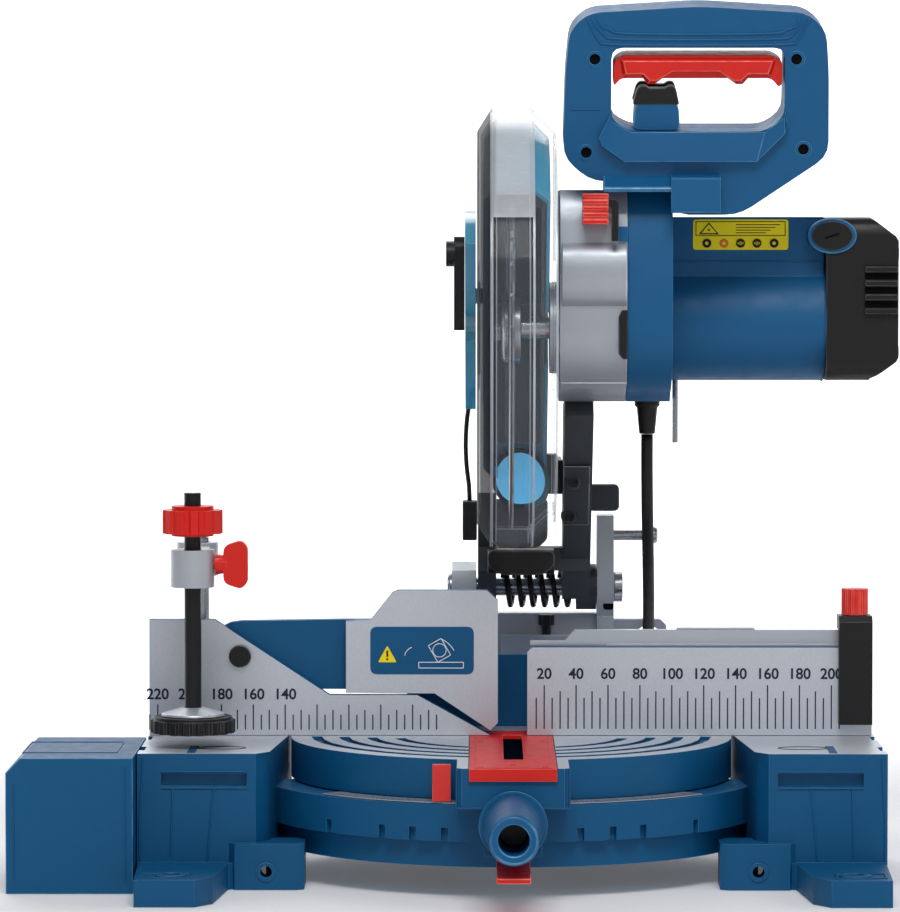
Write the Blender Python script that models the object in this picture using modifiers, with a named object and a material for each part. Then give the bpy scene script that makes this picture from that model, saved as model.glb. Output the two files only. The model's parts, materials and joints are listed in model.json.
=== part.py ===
"""A bench-top compound mitre saw, as separate solids hung on the empties of its joints.

The dimensions below are millimetres in the saw's own layout: X to the right, Y to the back with the fence
face at Y = 0, Z up from the bench, and the mitre axis on X = Y = 0. The empty named saw_origin shifts that
layout so that the world origin is under the middle of the whole machine.
"""
import bmesh
import bpy
from math import cos, pi, radians, sin
from mathutils import Matrix, Vector

MM = 0.001
GAP = 0.3
ORIGIN = (-29.5, -37.0)

# Base and table
TABLE_Z = 82.0
TABLE_R = 138.0
TABLE_UNDER = 58.0
BLOCK_OUT = 227.5
BLOCK_IN = 147.5
BLOCK_FRONT = -104.0
BLOCK_BACK = 52.0
FOOT_FRONT = -185.0
FOOT_Z = 16.0
RAIL_R = 157.0
RING_IN_R = 112.0
RAIL_Z = 57.0
RAIL_LOW = 35.0
RING_R = 150.0
RING_LOW = 18.6
ARM_HALF = 33.3
ARM_FRONT = -183.0
DETENT_ANGLES = (15.0, 22.5, 30.0, 45.0)
EXT_X = (-305.0, -228.0)
EXT_Y = (-129.0, -10.0)

# Fence
FENCE_T = 8.0
FENCE_Z = TABLE_Z + GAP
FENCE_TOP = 137.6
BRIDGE_R = 66.0
FLIP_AXIS = (-170.0, 132.0)

# Joint axes, as (X, Y, Z)
CHOP = (0.0, 150.0, 164.5)
BLADE = (0.0, 19.6, 337.5)
MOTOR = (0.0, 62.0, 340.8)
BEVEL = (0.0, 150.0, TABLE_Z)
LOCK_KNOB_Z = 49.0
CLAMP_POST = (-198.0, 26.0)
CLAMP_ROD = (-196.0, -60.0)

# Blade and guards
BLADE_R = 127.0
BLADE_T = 2.4
TEETH = 40
UPPER_R = 134.0
LOWER_R = 138.5
CHOP_SWING = 46.0
GEAR_TEETH = 33
PINION_TEETH = 9

COLOURS = {
    "blue": ((0.012, 0.09, 0.19), 0.45, 0.0),
    "silver": ((0.42, 0.44, 0.46), 0.35, 0.9),
    "dark_grey": ((0.05, 0.055, 0.06), 0.5, 0.2),
    "black": ((0.014, 0.013, 0.014), 0.5, 0.0),
    "red": ((0.75, 0.03, 0.02), 0.4, 0.0),
    "steel": ((0.5, 0.5, 0.5), 0.25, 1.0),
    "clear": ((0.75, 0.82, 0.86), 0.1, 0.0),
    "teal": ((0.03, 0.3, 0.45), 0.2, 0.0),
    "copper": ((0.6, 0.25, 0.1), 0.35, 1.0),
}


def clear_scene():
    for item in list(bpy.data.objects):
        bpy.data.objects.remove(item, do_unlink=True)


clear_scene()
PARTS = bpy.data.collections.new("mitre_saw")
CUTTERS = bpy.data.collections.new("cutters")
bpy.context.scene.collection.children.link(PARTS)
bpy.context.scene.collection.children.link(CUTTERS)


def material(colour):
    name = "saw_" + colour
    found = bpy.data.materials.get(name)
    if found:
        return found
    rgb, roughness, metallic = COLOURS[colour]
    made = bpy.data.materials.new(name)
    made.use_nodes = True
    shader = made.node_tree.nodes["Principled BSDF"]
    shader.inputs["Base Color"].default_value = (*rgb, 1.0)
    shader.inputs["Roughness"].default_value = roughness
    shader.inputs["Metallic"].default_value = metallic
    made.diffuse_color = (*rgb, 1.0)
    return made


def empty(name, parent=None, at=(0.0, 0.0, 0.0)):
    """An empty on a joint's axis. Its children keep the saw's own layout through their parent inverse."""
    made = bpy.data.objects.new(name, None)
    PARTS.objects.link(made)
    made["axis_at"] = at
    made.location = Vector(at) * MM
    if parent:
        attach(made, parent)
    return made


def attach(item, parent):
    item.parent = parent
    item.matrix_parent_inverse = Matrix.Translation(-Vector(parent["axis_at"]) * MM)


ROOT = empty("saw_origin")
ROOT.location = (-ORIGIN[0] * MM, -ORIGIN[1] * MM, 0.0)

# How a shape drawn in its own XY plane, with its thickness or spin along Z, is turned to a saw axis
TURNS = {
    "Z": Matrix.Identity(3),
    "Y": Matrix(((1, 0, 0), (0, 0, -1), (0, 1, 0))),
    "X": Matrix(((0, 0, 1), (1, 0, 0), (0, 1, 0))),
}


def finish(item, group, colour):
    item.data.materials.append(material(colour))
    attach(item, group)
    return item


def link_mesh(name, mesh):
    item = bpy.data.objects.new(name, mesh)
    PARTS.objects.link(item)
    attach(item, ROOT)
    return item


def box(name, low, high):
    cage = bmesh.new()
    bmesh.ops.create_cube(cage, size=1.0)
    size = [b - a for a, b in zip(low, high)]
    bmesh.ops.scale(cage, vec=Vector(size) * MM, verts=cage.verts)
    middle = Vector([(a + b) / 2 for a, b in zip(low, high)]) * MM
    bmesh.ops.translate(cage, vec=middle, verts=cage.verts)
    mesh = bpy.data.meshes.new(name)
    cage.to_mesh(mesh)
    cage.free()
    return link_mesh(name, mesh)


def cylinder(name, axis, at, radius, low, high, sides=24, top_radius=None):
    """A cylinder or cone along a saw axis; `at` holds the two other coordinates in X, Y, Z order."""
    cage = bmesh.new()
    top = radius if top_radius is None else top_radius
    bmesh.ops.create_cone(cage, cap_ends=True, segments=sides, depth=(high - low) * MM,
                          radius1=radius * MM, radius2=top * MM)
    spin = {"Z": Matrix.Identity(3), "X": Matrix.Rotation(pi / 2, 3, "Y"),
            "Y": Matrix.Rotation(-pi / 2, 3, "X")}[axis]
    bmesh.ops.rotate(cage, matrix=spin, verts=cage.verts)
    middle = list(at)
    middle.insert("XYZ".index(axis), (low + high) / 2)
    bmesh.ops.translate(cage, vec=Vector(middle) * MM, verts=cage.verts)
    mesh = bpy.data.meshes.new(name)
    cage.to_mesh(mesh)
    cage.free()
    return link_mesh(name, mesh)


def prism(name, axis, outline, low, high, holes=()):
    """A flat outline across an axis, from low to high. It is drawn as (Y, Z), (X, Z) or (X, Y)."""
    curve = bpy.data.curves.new(name, "CURVE")
    curve.dimensions = "2D"
    curve.fill_mode = "BOTH"
    curve.extrude = (high - low) / 2 * MM
    curve.render_resolution_u = 0
    for loop in (outline, *holes):
        spline = curve.splines.new("POLY")
        spline.points.add(len(loop) - 1)
        for point, (u, v) in zip(spline.points, loop):
            point.co = (u * MM, v * MM, 0.0, 1.0)
        spline.use_cyclic_u = True
    drawn = bpy.data.objects.new(name + "_outline", curve)
    PARTS.objects.link(drawn)
    bpy.context.view_layer.update()
    depsgraph = bpy.context.evaluated_depsgraph_get()
    mesh = bpy.data.meshes.new_from_object(drawn.evaluated_get(depsgraph))
    bpy.data.objects.remove(drawn, do_unlink=True)
    cage = bmesh.new()
    cage.from_mesh(mesh)
    bmesh.ops.remove_doubles(cage, verts=cage.verts, dist=0.00001)
    cage.to_mesh(mesh)
    cage.free()
    shift = [0.0, 0.0, 0.0]
    shift["XYZ".index(axis)] = (low + high) / 2 * MM
    mesh.transform(Matrix.Translation(shift) @ TURNS[axis].to_4x4())
    mesh.materials.clear()
    return link_mesh(name, mesh)


def turned(name, axis, at, profile, sides=24):
    """A profile of (radius, height) pairs, run down its outer side, turned about a saw axis.

    A profile that doesn't start and end on the axis is closed into a ring. The heights are saw coordinates.
    """
    cage = bmesh.new()
    verts = [cage.verts.new((r * MM, 0.0, h * MM)) for r, h in profile]
    pairs = list(zip(verts, verts[1:]))
    if profile[0][0] > 0 or profile[-1][0] > 0:
        pairs.append((verts[-1], verts[0]))
    for pair in pairs:
        cage.edges.new(pair)
    mesh = bpy.data.meshes.new(name)
    cage.to_mesh(mesh)
    cage.free()
    item = link_mesh(name, mesh)
    place = list(at)
    place.insert("XYZ".index(axis), 0.0)
    item.location = Vector(place) * MM
    item.rotation_euler = TURNS[axis].to_euler() if axis != "Y" else (-pi / 2, 0.0, 0.0)
    screw = item.modifiers.new("turn", "SCREW")
    screw.steps = sides
    screw.render_steps = sides
    screw.use_merge_vertices = True
    screw.merge_threshold = 0.00001
    screw.use_smooth_shade = True
    return item


def tube(name, points, radius, resolution=2, cyclic=False):
    curve = bpy.data.curves.new(name, "CURVE")
    curve.dimensions = "3D"
    curve.bevel_depth = radius * MM
    curve.bevel_resolution = resolution
    curve.use_fill_caps = True
    curve.render_resolution_u = 0
    spline = curve.splines.new("POLY")
    spline.points.add(len(points) - 1)
    for point, place in zip(spline.points, points):
        point.co = (*(Vector(place) * MM), 1.0)
    spline.use_cyclic_u = cyclic
    item = bpy.data.objects.new(name, curve)
    PARTS.objects.link(item)
    attach(item, ROOT)
    return item


def boolean(target, tool, operation):
    step = target.modifiers.new(operation.lower() + "_" + tool.name, "BOOLEAN")
    step.operation = operation
    step.object = tool
    step.solver = "EXACT"
    tool.hide_render = True
    tool.display_type = "WIRE"
    if tool.name in PARTS.objects:
        PARTS.objects.unlink(tool)
        CUTTERS.objects.link(tool)


def cut(target, *tools):
    for tool in tools:
        boolean(target, tool, "DIFFERENCE")
    return target


def unite(target, *tools):
    for tool in tools:
        boolean(target, tool, "UNION")
    return target


def soften(item, width, angle=35.0, segments=1):
    step = item.modifiers.new("soft_edges", "BEVEL")
    step.width = width * MM
    step.segments = segments
    step.limit_method = "ANGLE"
    step.angle_limit = radians(angle)
    return item


def arc(centre, radius, start, end, steps):
    """Points on a circle from one angle to another, in degrees."""
    angles = [radians(start + (end - start) * i / steps) for i in range(steps + 1)]
    return [(centre[0] + radius * cos(a), centre[1] + radius * sin(a)) for a in angles]


def circle(centre, radius, sides=24):
    return arc(centre, radius, 0.0, 360.0, sides)[:-1]


def band(centre, inner, outer, start, end, steps):
    """The outline of a curved strip."""
    return arc(centre, outer, start, end, steps) + arc(centre, inner, end, start, steps)


def rounded(corners, radius, steps=3):
    """A closed outline with each corner rounded by a short quadratic curve."""
    points = []
    for i, corner in enumerate(corners):
        here = Vector(corner)
        before = Vector(corners[i - 1])
        after = Vector(corners[(i + 1) % len(corners)])
        reach = min(radius, (before - here).length * 0.45, (after - here).length * 0.45)
        a = here + (before - here).normalized() * reach
        b = here + (after - here).normalized() * reach
        for k in range(steps + 1):
            t = k / steps
            points.append(tuple(a * (1 - t) ** 2 + here * (2 * t * (1 - t)) + b * t ** 2))
    return points


def knurled(radius, depth, ribs):
    """A wavy round outline, for hand knobs."""
    points = []
    for i in range(ribs):
        start = 2 * pi * i / ribs
        for share, r in ((0.0, radius), (0.45, radius), (0.6, radius - depth), (0.85, radius - depth)):
            a = start + share * 2 * pi / ribs
            points.append((r * cos(a), r * sin(a)))
    return points


def moved(outline, dx, dy):
    return [(x + dx, y + dy) for x, y in outline]


def mirrored(outline):
    return [(-x, y) for x, y in reversed(outline)]


# ---------------------------------------------------------------- base and its fittings

def base_casting():
    """Two side blocks joined by the curved front rail, a low ring and a cross web with the pivot hub."""
    body = prism("base_casting", "Z", circle((0, 0), RING_IN_R + 22, 48), RING_LOW, RAIL_Z - 0.5,
                 [circle((0, 0), RING_IN_R, 32)])
    rail = prism("front_rail", "Z", band((0, 0), RING_IN_R + 18, RAIL_R, 188, 352, 36), RAIL_LOW, RAIL_Z)
    ring = prism("low_ring", "Z", band((0, 0), RING_IN_R + 16, RING_R, 192, 348, 24), RING_LOW + 0.4, RAIL_LOW + 1)
    tools = [rail, ring]
    for side in (-1, 1):
        outline = [(TABLE_R + 1.8, BLOCK_BACK), (TABLE_R + 1.8, 0), (BLOCK_IN, BLOCK_FRONT + 12),
                   (BLOCK_IN + 8, BLOCK_FRONT), (BLOCK_OUT, BLOCK_FRONT), (BLOCK_OUT, BLOCK_BACK)]
        if side < 0:
            outline = mirrored(outline)
        tools.append(prism(f"block{side}", "Z", outline, 0, TABLE_Z))
        foot = [(150, BLOCK_FRONT + 10), (172, BLOCK_FRONT - 6), (178, FOOT_FRONT + 14),
                (188, FOOT_FRONT), (224, FOOT_FRONT), (227, BLOCK_FRONT + 10)]
        inner = [(126, -80), (126, -108), (131, -111), (168, -111), (172, -104), (172, -80)]
        if side < 0:
            foot = mirrored(foot)
            inner = mirrored(inner)
        tools.append(prism(f"foot{side}", "Z", foot, 0, FOOT_Z))
        tools.append(prism(f"leg{side}", "Z", inner, 0, 28))
    tools.append(box("web", (-150, -14, RING_LOW + 1), (150, 14, 40)))
    tools.append(box("long_web", (-14, -RING_IN_R - 4, RING_LOW + 2), (14, RING_IN_R + 4, 41)))
    unite(body, *tools)
    cut(body, cylinder("hub_hole", "Z", (0, 0), 6.4, 0, 60, 20))
    for side in (-1, 1):
        for y in (-75, -15):
            low = (side * BLOCK_OUT - 3.2, y - 10, 60)
            high = (side * BLOCK_OUT + 3.2, y + 10, TABLE_Z + 2)
            cut(body, box(f"end_slot{side}{y}", low, high))
        cut(body, box(f"front_recess{side}", (side * 187 - 26, BLOCK_FRONT - 2, 62),
                      (side * 187 + 26, BLOCK_FRONT + 5, 70)))
        cut(body, box(f"hollow{side}", (side * 184 - 34, BLOCK_FRONT + 8, -5),
                      (side * 184 + 34, BLOCK_BACK - 8, 72)))
        cut(body, cylinder(f"bench_hole{side}", "Z", (side * 203, -166), 5.5, -2, 20, 20))
        cut(body, cylinder(f"leg_hole{side}", "Y", (side * 149, 11), 3.6, -120, -90, 16))
        for angle in DETENT_ANGLES:
            notch = box(f"notch{side}{angle}", (-2.3, -RAIL_R - 3, RAIL_LOW - 2), (2.3, -RAIL_R + 4, RAIL_LOW + 8))
            notch.rotation_euler = (0, 0, radians(side * angle))
            cut(body, notch)
    cut(body, cylinder("post_hole", "Z", CLAMP_POST, 7.9, 60, 90, 24))
    return finish(body, ROOT, "blue")


def base_fittings():
    scale = prism("mitre_scale", "Z", band((0, 0), TABLE_R + 2, RAIL_R - 2, 222, 318, 20),
                  RAIL_Z + GAP, RAIL_Z + 0.9)
    finish(scale, ROOT, "silver")
    bolt = turned("table_pivot_bolt", "Z", (0, 0), [(0, 49), (6, 49), (6, RING_LOW - GAP),
                  (12, RING_LOW - GAP), (12, 11), (0, 11)], 24)
    finish(bolt, ROOT, "steel")
    post = turned("clamp_post", "Z", CLAMP_POST, [(0, 206), (6.5, 206), (7.5, 204), (7.5, 72.4), (0, 72.4)], 24)
    finish(post, ROOT, "silver")


def fence():
    """Left and right faces, joined behind the blade by a curved bridge, with feet on the base blocks."""
    left = [(-227, FENCE_Z), (-13, FENCE_Z), (-59, 107.6), (-114, 107.6), (-186, 155), (-227, 155)]
    right = [(10, FENCE_Z), (226, FENCE_Z), (226, FENCE_TOP), (13, FENCE_TOP), (10, FENCE_TOP - 3)]
    body = prism("fence", "Y", left, 0, FENCE_T)
    unite(body, prism("right_face", "Y", right, 0, FENCE_T))
    bridge = prism("bridge", "Z", band((0, 0), BRIDGE_R - 8, BRIDGE_R, 5, 175, 24), FENCE_Z, 128)
    unite(body, bridge)
    for side in (-1, 1):
        unite(body, box(f"fence_foot{side}", (side * 185 - 40, 3, FENCE_Z), (side * 185 + 40, 48, 90)))
        for x in (70, 112, 160):
            top = 106 if side < 0 else 130
            web = prism(f"rib{side}{x}", "X", [(4, FENCE_Z), (34, FENCE_Z), (30, 92), (6, top)],
                        side * x - 2, side * x + 2)
            unite(body, web)
    cut(body, box("flip_fence_room", (-75, -1, 107.8), (-50, FENCE_T + 0.6, 130)))
    cut(body, prism("throat", "Z", [(-8, -2), (8, -2), (34, 30), (-34, 30)], 80, 150))
    cut(body, cylinder("post_clearance", "Z", CLAMP_POST, 8.2, 80, 92, 24))
    for x, z in ((-215, 0), (-150, 0), (150, 0), (212, 0)):
        cut(body, cylinder(f"fence_hole{x}", "Z", (x, 36 + z), 3.6, 80, 92, 16))
    cut(body, cylinder("hinge_hole", "Y", FLIP_AXIS, 5.4, -2, 12, 20))
    return finish(body, ROOT, "blue")


def fence_fittings():
    rail = prism("fence_top_rail", "Y", [(12, 138), (225, 138), (225, 146), (222, 148), (40, 148), (34, 141),
                 (12, 141)], FENCE_T + 0.6, FENCE_T + 6)
    unite(rail, box("rail_foot", (60, FENCE_T + GAP, 128), (220, FENCE_T + 6, 139)))
    for x in (70, 112, 160):
        cut(rail, box(f"rail_gap{x}", (x - 3, FENCE_T, 120), (x + 3, FENCE_T + 8, 134)))
    finish(rail, ROOT, "silver")
    pin = turned("flip_fence_bolt", "Y", FLIP_AXIS, [(0, 22), (8, 22), (8, 18.3), (5, 18.3), (5, -GAP - 0.2),
                 (7, -GAP - 0.2), (7, -3), (0, -3)], 24)
    return finish(pin, ROOT, "black")


def side_extension():
    group = empty("extension_axis", ROOT, (-266.5, -70, 0))
    left, right = EXT_X
    outline = [(left, 0), (right - GAP, 0), (right - GAP, TABLE_Z), (left + 9, TABLE_Z), (left, 73)]
    body = prism("side_extension", "Y", outline, *EXT_Y)
    inside = [(left + 3, -2), (right - 3.3, -2), (right - 3.3, 78.5), (left + 10, 78.5), (left + 3, 71.5)]
    cut(body, prism("extension_hollow", "Y", inside, EXT_Y[0] + 3, EXT_Y[1] - 3))
    for y in (-75, -15):
        hook = box(f"hook{y}", (right - 2, y - 8 if y < -20 else y - 8, 62), (right + 2.6, min(y + 8, -11), 72))
        unite(body, hook)
    return finish(body, group, "blue")


def flip_fence():
    group = empty("flip_fence_axis", ROOT, (FLIP_AXIS[0], 0, FLIP_AXIS[1]))
    face = [(-103.7, 109), (-103.7, 154), (-88, 155), (-74.5, 172), (-71, 173.5), (-15, 173.5), (-8.3, 167),
            (-8.3, 90), (-13, 85.2), (-48, 107.6 + GAP + 0.6), (-58.7, 107.6 + GAP + 0.6)]
    body = prism("flip_fence", "Y", face, 0, FENCE_T)
    back = [(-100, 110.5)] + [(-112, 110.5)] + arc(FLIP_AXIS, 21.5, 262, 90, 10) + [(-104, 154.5), (-80, 154.5),
            (-73, 148), (-73, 112)]
    unite(body, prism("flip_arm", "Y", back, FENCE_T + GAP, 17))
    unite(body, prism("flip_step", "Y", [(-100, 114), (-100, 152), (-80, 150), (-75, 114)], 6, FENCE_T + 2))
    cut(body, cylinder("flip_bore", "Y", FLIP_AXIS, 5.6, 5, 20, 20))
    return finish(body, group, "blue")


def length_stop():
    group = empty("stop_axis", ROOT, (215.5, 0, 137))
    body = prism("length_stop", "X", [(-6, 89.5), (-GAP, 89.5), (-GAP, 148.3 + GAP), (15, 148.3 + GAP),
                 (15, 157.6), (-3, 157.6), (-6, 154)], 205, 226)
    cut(body, cylinder("stop_bore", "Z", (215.5, 5), 3.4, 140, 160, 16))
    finish(body, group, "black")
    knob_axis = empty("stop_knob_axis", group, (215.5, 5, 160))
    knob = prism("stop_knob", "Z", moved(knurled(8.5, 1.0, 12), 215.5, 5), 158, 174.5)
    unite(knob, cylinder("stop_shank", "Z", (215.5, 5), 3, 149.2, 160, 12))
    finish(knob, knob_axis, "red")


def clamp():
    px, py = CLAMP_POST
    rx, ry = CLAMP_ROD
    group = empty("clamp_arm_axis", ROOT, (px, py, 190))
    arm = cylinder("clamp_arm", "Z", CLAMP_POST, 13, 181, 202, 28)
    unite(arm, prism("arm_beam", "Z", [(px - 8, py), (rx - 8, ry), (rx + 8, ry), (px + 8, py)], 183, 200))
    unite(arm, cylinder("arm_boss", "Z", CLAMP_ROD, 13.4, 180, 203, 28))
    cut(arm, cylinder("arm_bore", "Z", CLAMP_POST, 7.9, 170, 215, 24),
        cylinder("rod_bore", "Z", CLAMP_ROD, 5.7, 170, 215, 24),
        cylinder("wing_bore", "X", (ry, 194), 3.5, rx + 6, rx + 20, 16))
    finish(arm, group, "silver")
    wing_axis = empty("wing_axis", group, (rx + 14, ry, 194))
    wing = turned("clamp_wing_knob", "X", (ry, 194), [(0, rx + 21), (5.5, rx + 21), (6.5, rx + 14),
                  (3.2, rx + 13.8), (3.2, rx + 7.2), (0, rx + 7.2)], 16)
    head = [(rx + 19, 182.5), (rx + 19, 205.5), (rx + 30, 209), (rx + 34, 205), (rx + 34, 183), (rx + 30, 179)]
    unite(wing, prism("wing_head", "Y", rounded(head, 4), ry - 5, ry + 5))
    finish(wing, wing_axis, "red")
    feed = empty("clamp_feed_axis", group, (rx, ry, 100))
    pad = prism("clamp_pad", "Z", moved(knurled(26, 1.6, 18), rx, ry), 90.5, 98.5)
    unite(pad, cylinder("pad_rim", "Z", CLAMP_ROD, 24, 98, 100.5, 32))
    finish(pad, feed, "black")
    turn = empty("clamp_screw_axis", feed, (rx, ry, 160))
    rod = cylinder("clamp_rod", "Z", CLAMP_ROD, 5.2, 100.8, 238, 20)
    finish(rod, turn, "black")
    knob = prism("clamp_knob", "Z", moved(knurled(18.5, 1.6, 12), rx, ry), 213, 227.5,
                 [moved(circle((0, 0), 5.5, 20), rx, ry)])
    unite(knob, turned("knob_hub", "Z", CLAMP_ROD, [(5.5, 230), (13, 230), (13, 211.5), (5.5, 211.5)], 24))
    finish(knob, turn, "red")


# ---------------------------------------------------------------- turntable

def turntable():
    group = empty("mitre_axis", ROOT)
    body = prism("turntable", "Z", circle((0, 0), TABLE_R, 60), TABLE_UNDER, TABLE_Z)
    arm = [(-ARM_HALF, -60), (-ARM_HALF, ARM_FRONT + 3), (-ARM_HALF + 3, ARM_FRONT),
           (ARM_HALF - 3, ARM_FRONT), (ARM_HALF, ARM_FRONT + 3), (ARM_HALF, -60)]
    unite(body, prism("front_arm", "Z", arm, TABLE_UNDER, TABLE_Z))
    unite(body, box("arm_drop", (-17, ARM_FRONT, 30), (17, -162, TABLE_UNDER + 1)))
    unite(body, box("rear_arm", (-35, 110, TABLE_UNDER), (35, 150, 76)))
    plate = [(-35, 60), (-35, 96), (-24, 112), (24, 112), (35, 96), (35, 60)]
    unite(body, prism("rear_plate", "Y", plate, 138, 150))
    cut(body, box("kerf_channel", (-12, -150, 62), (24, 30, 90)),
        box("insert_seat", (-26.4, ARM_FRONT - 2, 78.9), (26.4, 30, 90)),
        cylinder("bevel_bore", "Y", (BEVEL[0], BEVEL[2]), 6.4, 130, 160, 24),
        cylinder("lock_bore", "Y", (0, LOCK_KNOB_Z), 4.4, -190, -155, 20),
        box("hinge_slot", (-12, ARM_FRONT - 2, 28), (12, -172, 38)),
        box("bolt_head_room", (-12, 129, 70), (12, 138, 90)))
    for side in (-1, 1):
        for radius, reach in ((122, 38), (105, 36), (88, 33), (71, 28)):
            middle = -90 + side * 50
            groove = prism(f"groove{side}{radius}", "Z",
                           band((0, 0), radius - 3.2, radius + 3.2, middle - reach, middle + reach, 8), 79.5, 90)
            cut(body, groove)
    finish(body, group, "blue")
    insert = box("kerf_insert", (-26, ARM_FRONT - 2.3, 79.3), (26, 29.7, TABLE_Z))
    unite(insert, box("insert_lip", (-26, ARM_FRONT - 2.3, 74.5), (26, ARM_FRONT - GAP, 80)))
    cut(insert, box("kerf", (-5.3, -134, 70), (6.6, 5, 90)))
    for x, y in ((-19, -172), (19, -172), (0, -160), (-19, -30), (19, -30)):
        cut(insert, turned(f"screw_sink{x}{y}", "Z", (x, y), [(0, 83), (3.4, 83), (1.8, 80.4), (0, 80.4)], 12))
    finish(insert, group, "red")
    pointer = prism("mitre_pointer", "X", [(-150, RAIL_Z + 1.5), (-139.5, RAIL_Z + 1.5), (-139.5, 80),
                    (-143, 80)], -48, -37)
    cut(pointer, prism("pointer_fit", "Z", circle((0, 0), TABLE_R + 0.5, 60), 50, 90))
    finish(pointer, group, "red")
    scale = box("bevel_scale", (-6, 133, 112.5), (52, 137.7, 134))
    unite(scale, box("scale_foot", (-6, 133, 96), (20, 137.7, 114)))
    finish(scale, group, "silver")
    bolt = turned("bevel_bolt", "Y", (BEVEL[0], BEVEL[2]), [(0, 182), (6, 182), (6, 137.7), (10.5, 137.7),
                  (10.5, 131), (0, 131)], 24)
    finish(bolt, group, "steel")
    return group


def mitre_lock(group):
    knob_axis = empty("lock_knob_axis", group, (0, -200, LOCK_KNOB_Z))
    shape = [(9, -259.4), (13.6, -260), (15, -257.5), (15, -246), (18.3, -192.5), (17.5, -190), (9, -190)]
    knob = turned("mitre_lock_knob", "Y", (0, LOCK_KNOB_Z), [(r, h) for r, h in reversed(shape)], 40)
    finish(knob, knob_axis, "blue")
    rod = turned("mitre_lock_rod", "Y", (0, LOCK_KNOB_Z), [(0, -157.4), (4, -157.4), (4, -189), (8.7, -189.8),
                 (8.7, -215), (0, -215)], 24)
    finish(rod, knob_axis, "black")
    lever_axis = empty("detent_axis", group, (0, -177.5, 33))
    side = [(-173, 29), (-173, 37), (-186, 36), (-190, 28), (-247, 28), (-252, 26), (-252, 23), (-246, 22.5),
            (-192, 22.5), (-184, 29)]
    lever = prism("detent_lever", "X", side, -10, 10)
    finish(lever, lever_axis, "red")


# ---------------------------------------------------------------- bevel arm

def bevel_arm(table):
    group = empty("bevel_axis", table, BEVEL)
    x, y, z = BEVEL
    body = cylinder("bevel_arm", "Y", (x, z), 38, y + GAP, 166, 40)
    column = [(-34, 100), (-38, 118), (-38, 147), (68, 147), (68, 118), (34, 90), (20, 80), (-20, 80)]
    unite(body, prism("bevel_column", "Y", column, y + GAP, 166))
    left = [(166, 118), (136, 146), (134.5, 164.5), (138, 176), (150, 181), (162, 176), (166, 164.5)]
    right = [(166, 118), (136, 146), (134, 165), (138, 212), (162, 212), (166, 200)]
    unite(body, prism("left_lug", "X", left, -38, -22), prism("right_lug", "X", right, 57, 68))
    cut(body, cylinder("bevel_bore_b", "Y", (x, z), 6.4, 140, 180, 24),
        cylinder("pivot_bore", "X", CHOP[1:], 6.4, -45, 80, 24),
        cylinder("pin_bore", "X", (150, 198.5), 3.9, 50, 80, 20))
    clip = [(66, 119), (66, 143), (99, 143), (103, 139), (103, 123), (99, 119)]
    unite(body, prism("cord_clip", "Y", clip, 151, 160, [circle((91, 131), 8, 16)]))
    finish(body, group, "silver")
    pin = turned("head_pivot_pin", "X", CHOP[1:], [(0, 74), (10, 74), (10, 68 + GAP), (6, 68 + GAP), (6, -38 - GAP),
                 (8, -38 - GAP), (8, -41), (0, -41)], 24)
    finish(pin, group, "steel")
    turns, per_turn = 6, 10
    coil = []
    for i in range(turns * per_turn + 1):
        a = 2 * pi * i / per_turn
        coil.append((-5 + 45 * i / (turns * per_turn), CHOP[1] + 12.6 * cos(a), CHOP[2] + 12.6 * sin(a)))
    finish(tube("return_spring", coil, 1.8, 1), group, "black")
    lever_axis = empty("bevel_lever_axis", group, (0, 170, TABLE_Z))
    lever = cylinder("bevel_lock_lever", "Y", (0, TABLE_Z), 15, 166.3, 181.7, 28)
    unite(lever, prism("lever_handle", "Y", rounded([(-6, 90), (6, 90), (9, 30), (-9, 30)], 6), 170, 180))
    cut(lever, cylinder("lever_bore", "Y", (0, TABLE_Z), 6.4, 160, 190, 24))
    finish(lever, lever_axis, "black")
    pin_axis = empty("lock_pin_axis", group, (70, 150, 198.5))
    lock = turned("head_lock_pin", "X", (150, 198.5), [(0, 97), (4.5, 97), (5.5, 95), (5.5, 90), (3.5, 89),
                  (3.5, 57), (0, 57)], 20)
    finish(lock, pin_axis, "steel")
    return group


# ---------------------------------------------------------------- head

def head_local(dy, dz):
    """A point given from the blade's centre, as (Y, Z)."""
    return BLADE[1] + dy, BLADE[2] + dz


HOUSING = (arc(BLADE[1:], 41, 180, 262, 9)
           + [head_local(4, -46.5), head_local(62, -46.5), head_local(85, -30), head_local(88, 30),
              head_local(84, 66), head_local(62, 86.5), head_local(-26, 86.5), head_local(-41, 66)])


def inset(outline, amount):
    """The same outline drawn in towards its middle by about the amount."""
    middle = sum((Vector(p) for p in outline), Vector((0, 0))) / len(outline)
    points = []
    for p in outline:
        away = Vector(p) - middle
        points.append(tuple(middle + away * (1 - amount / away.length)))
    return points


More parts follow.
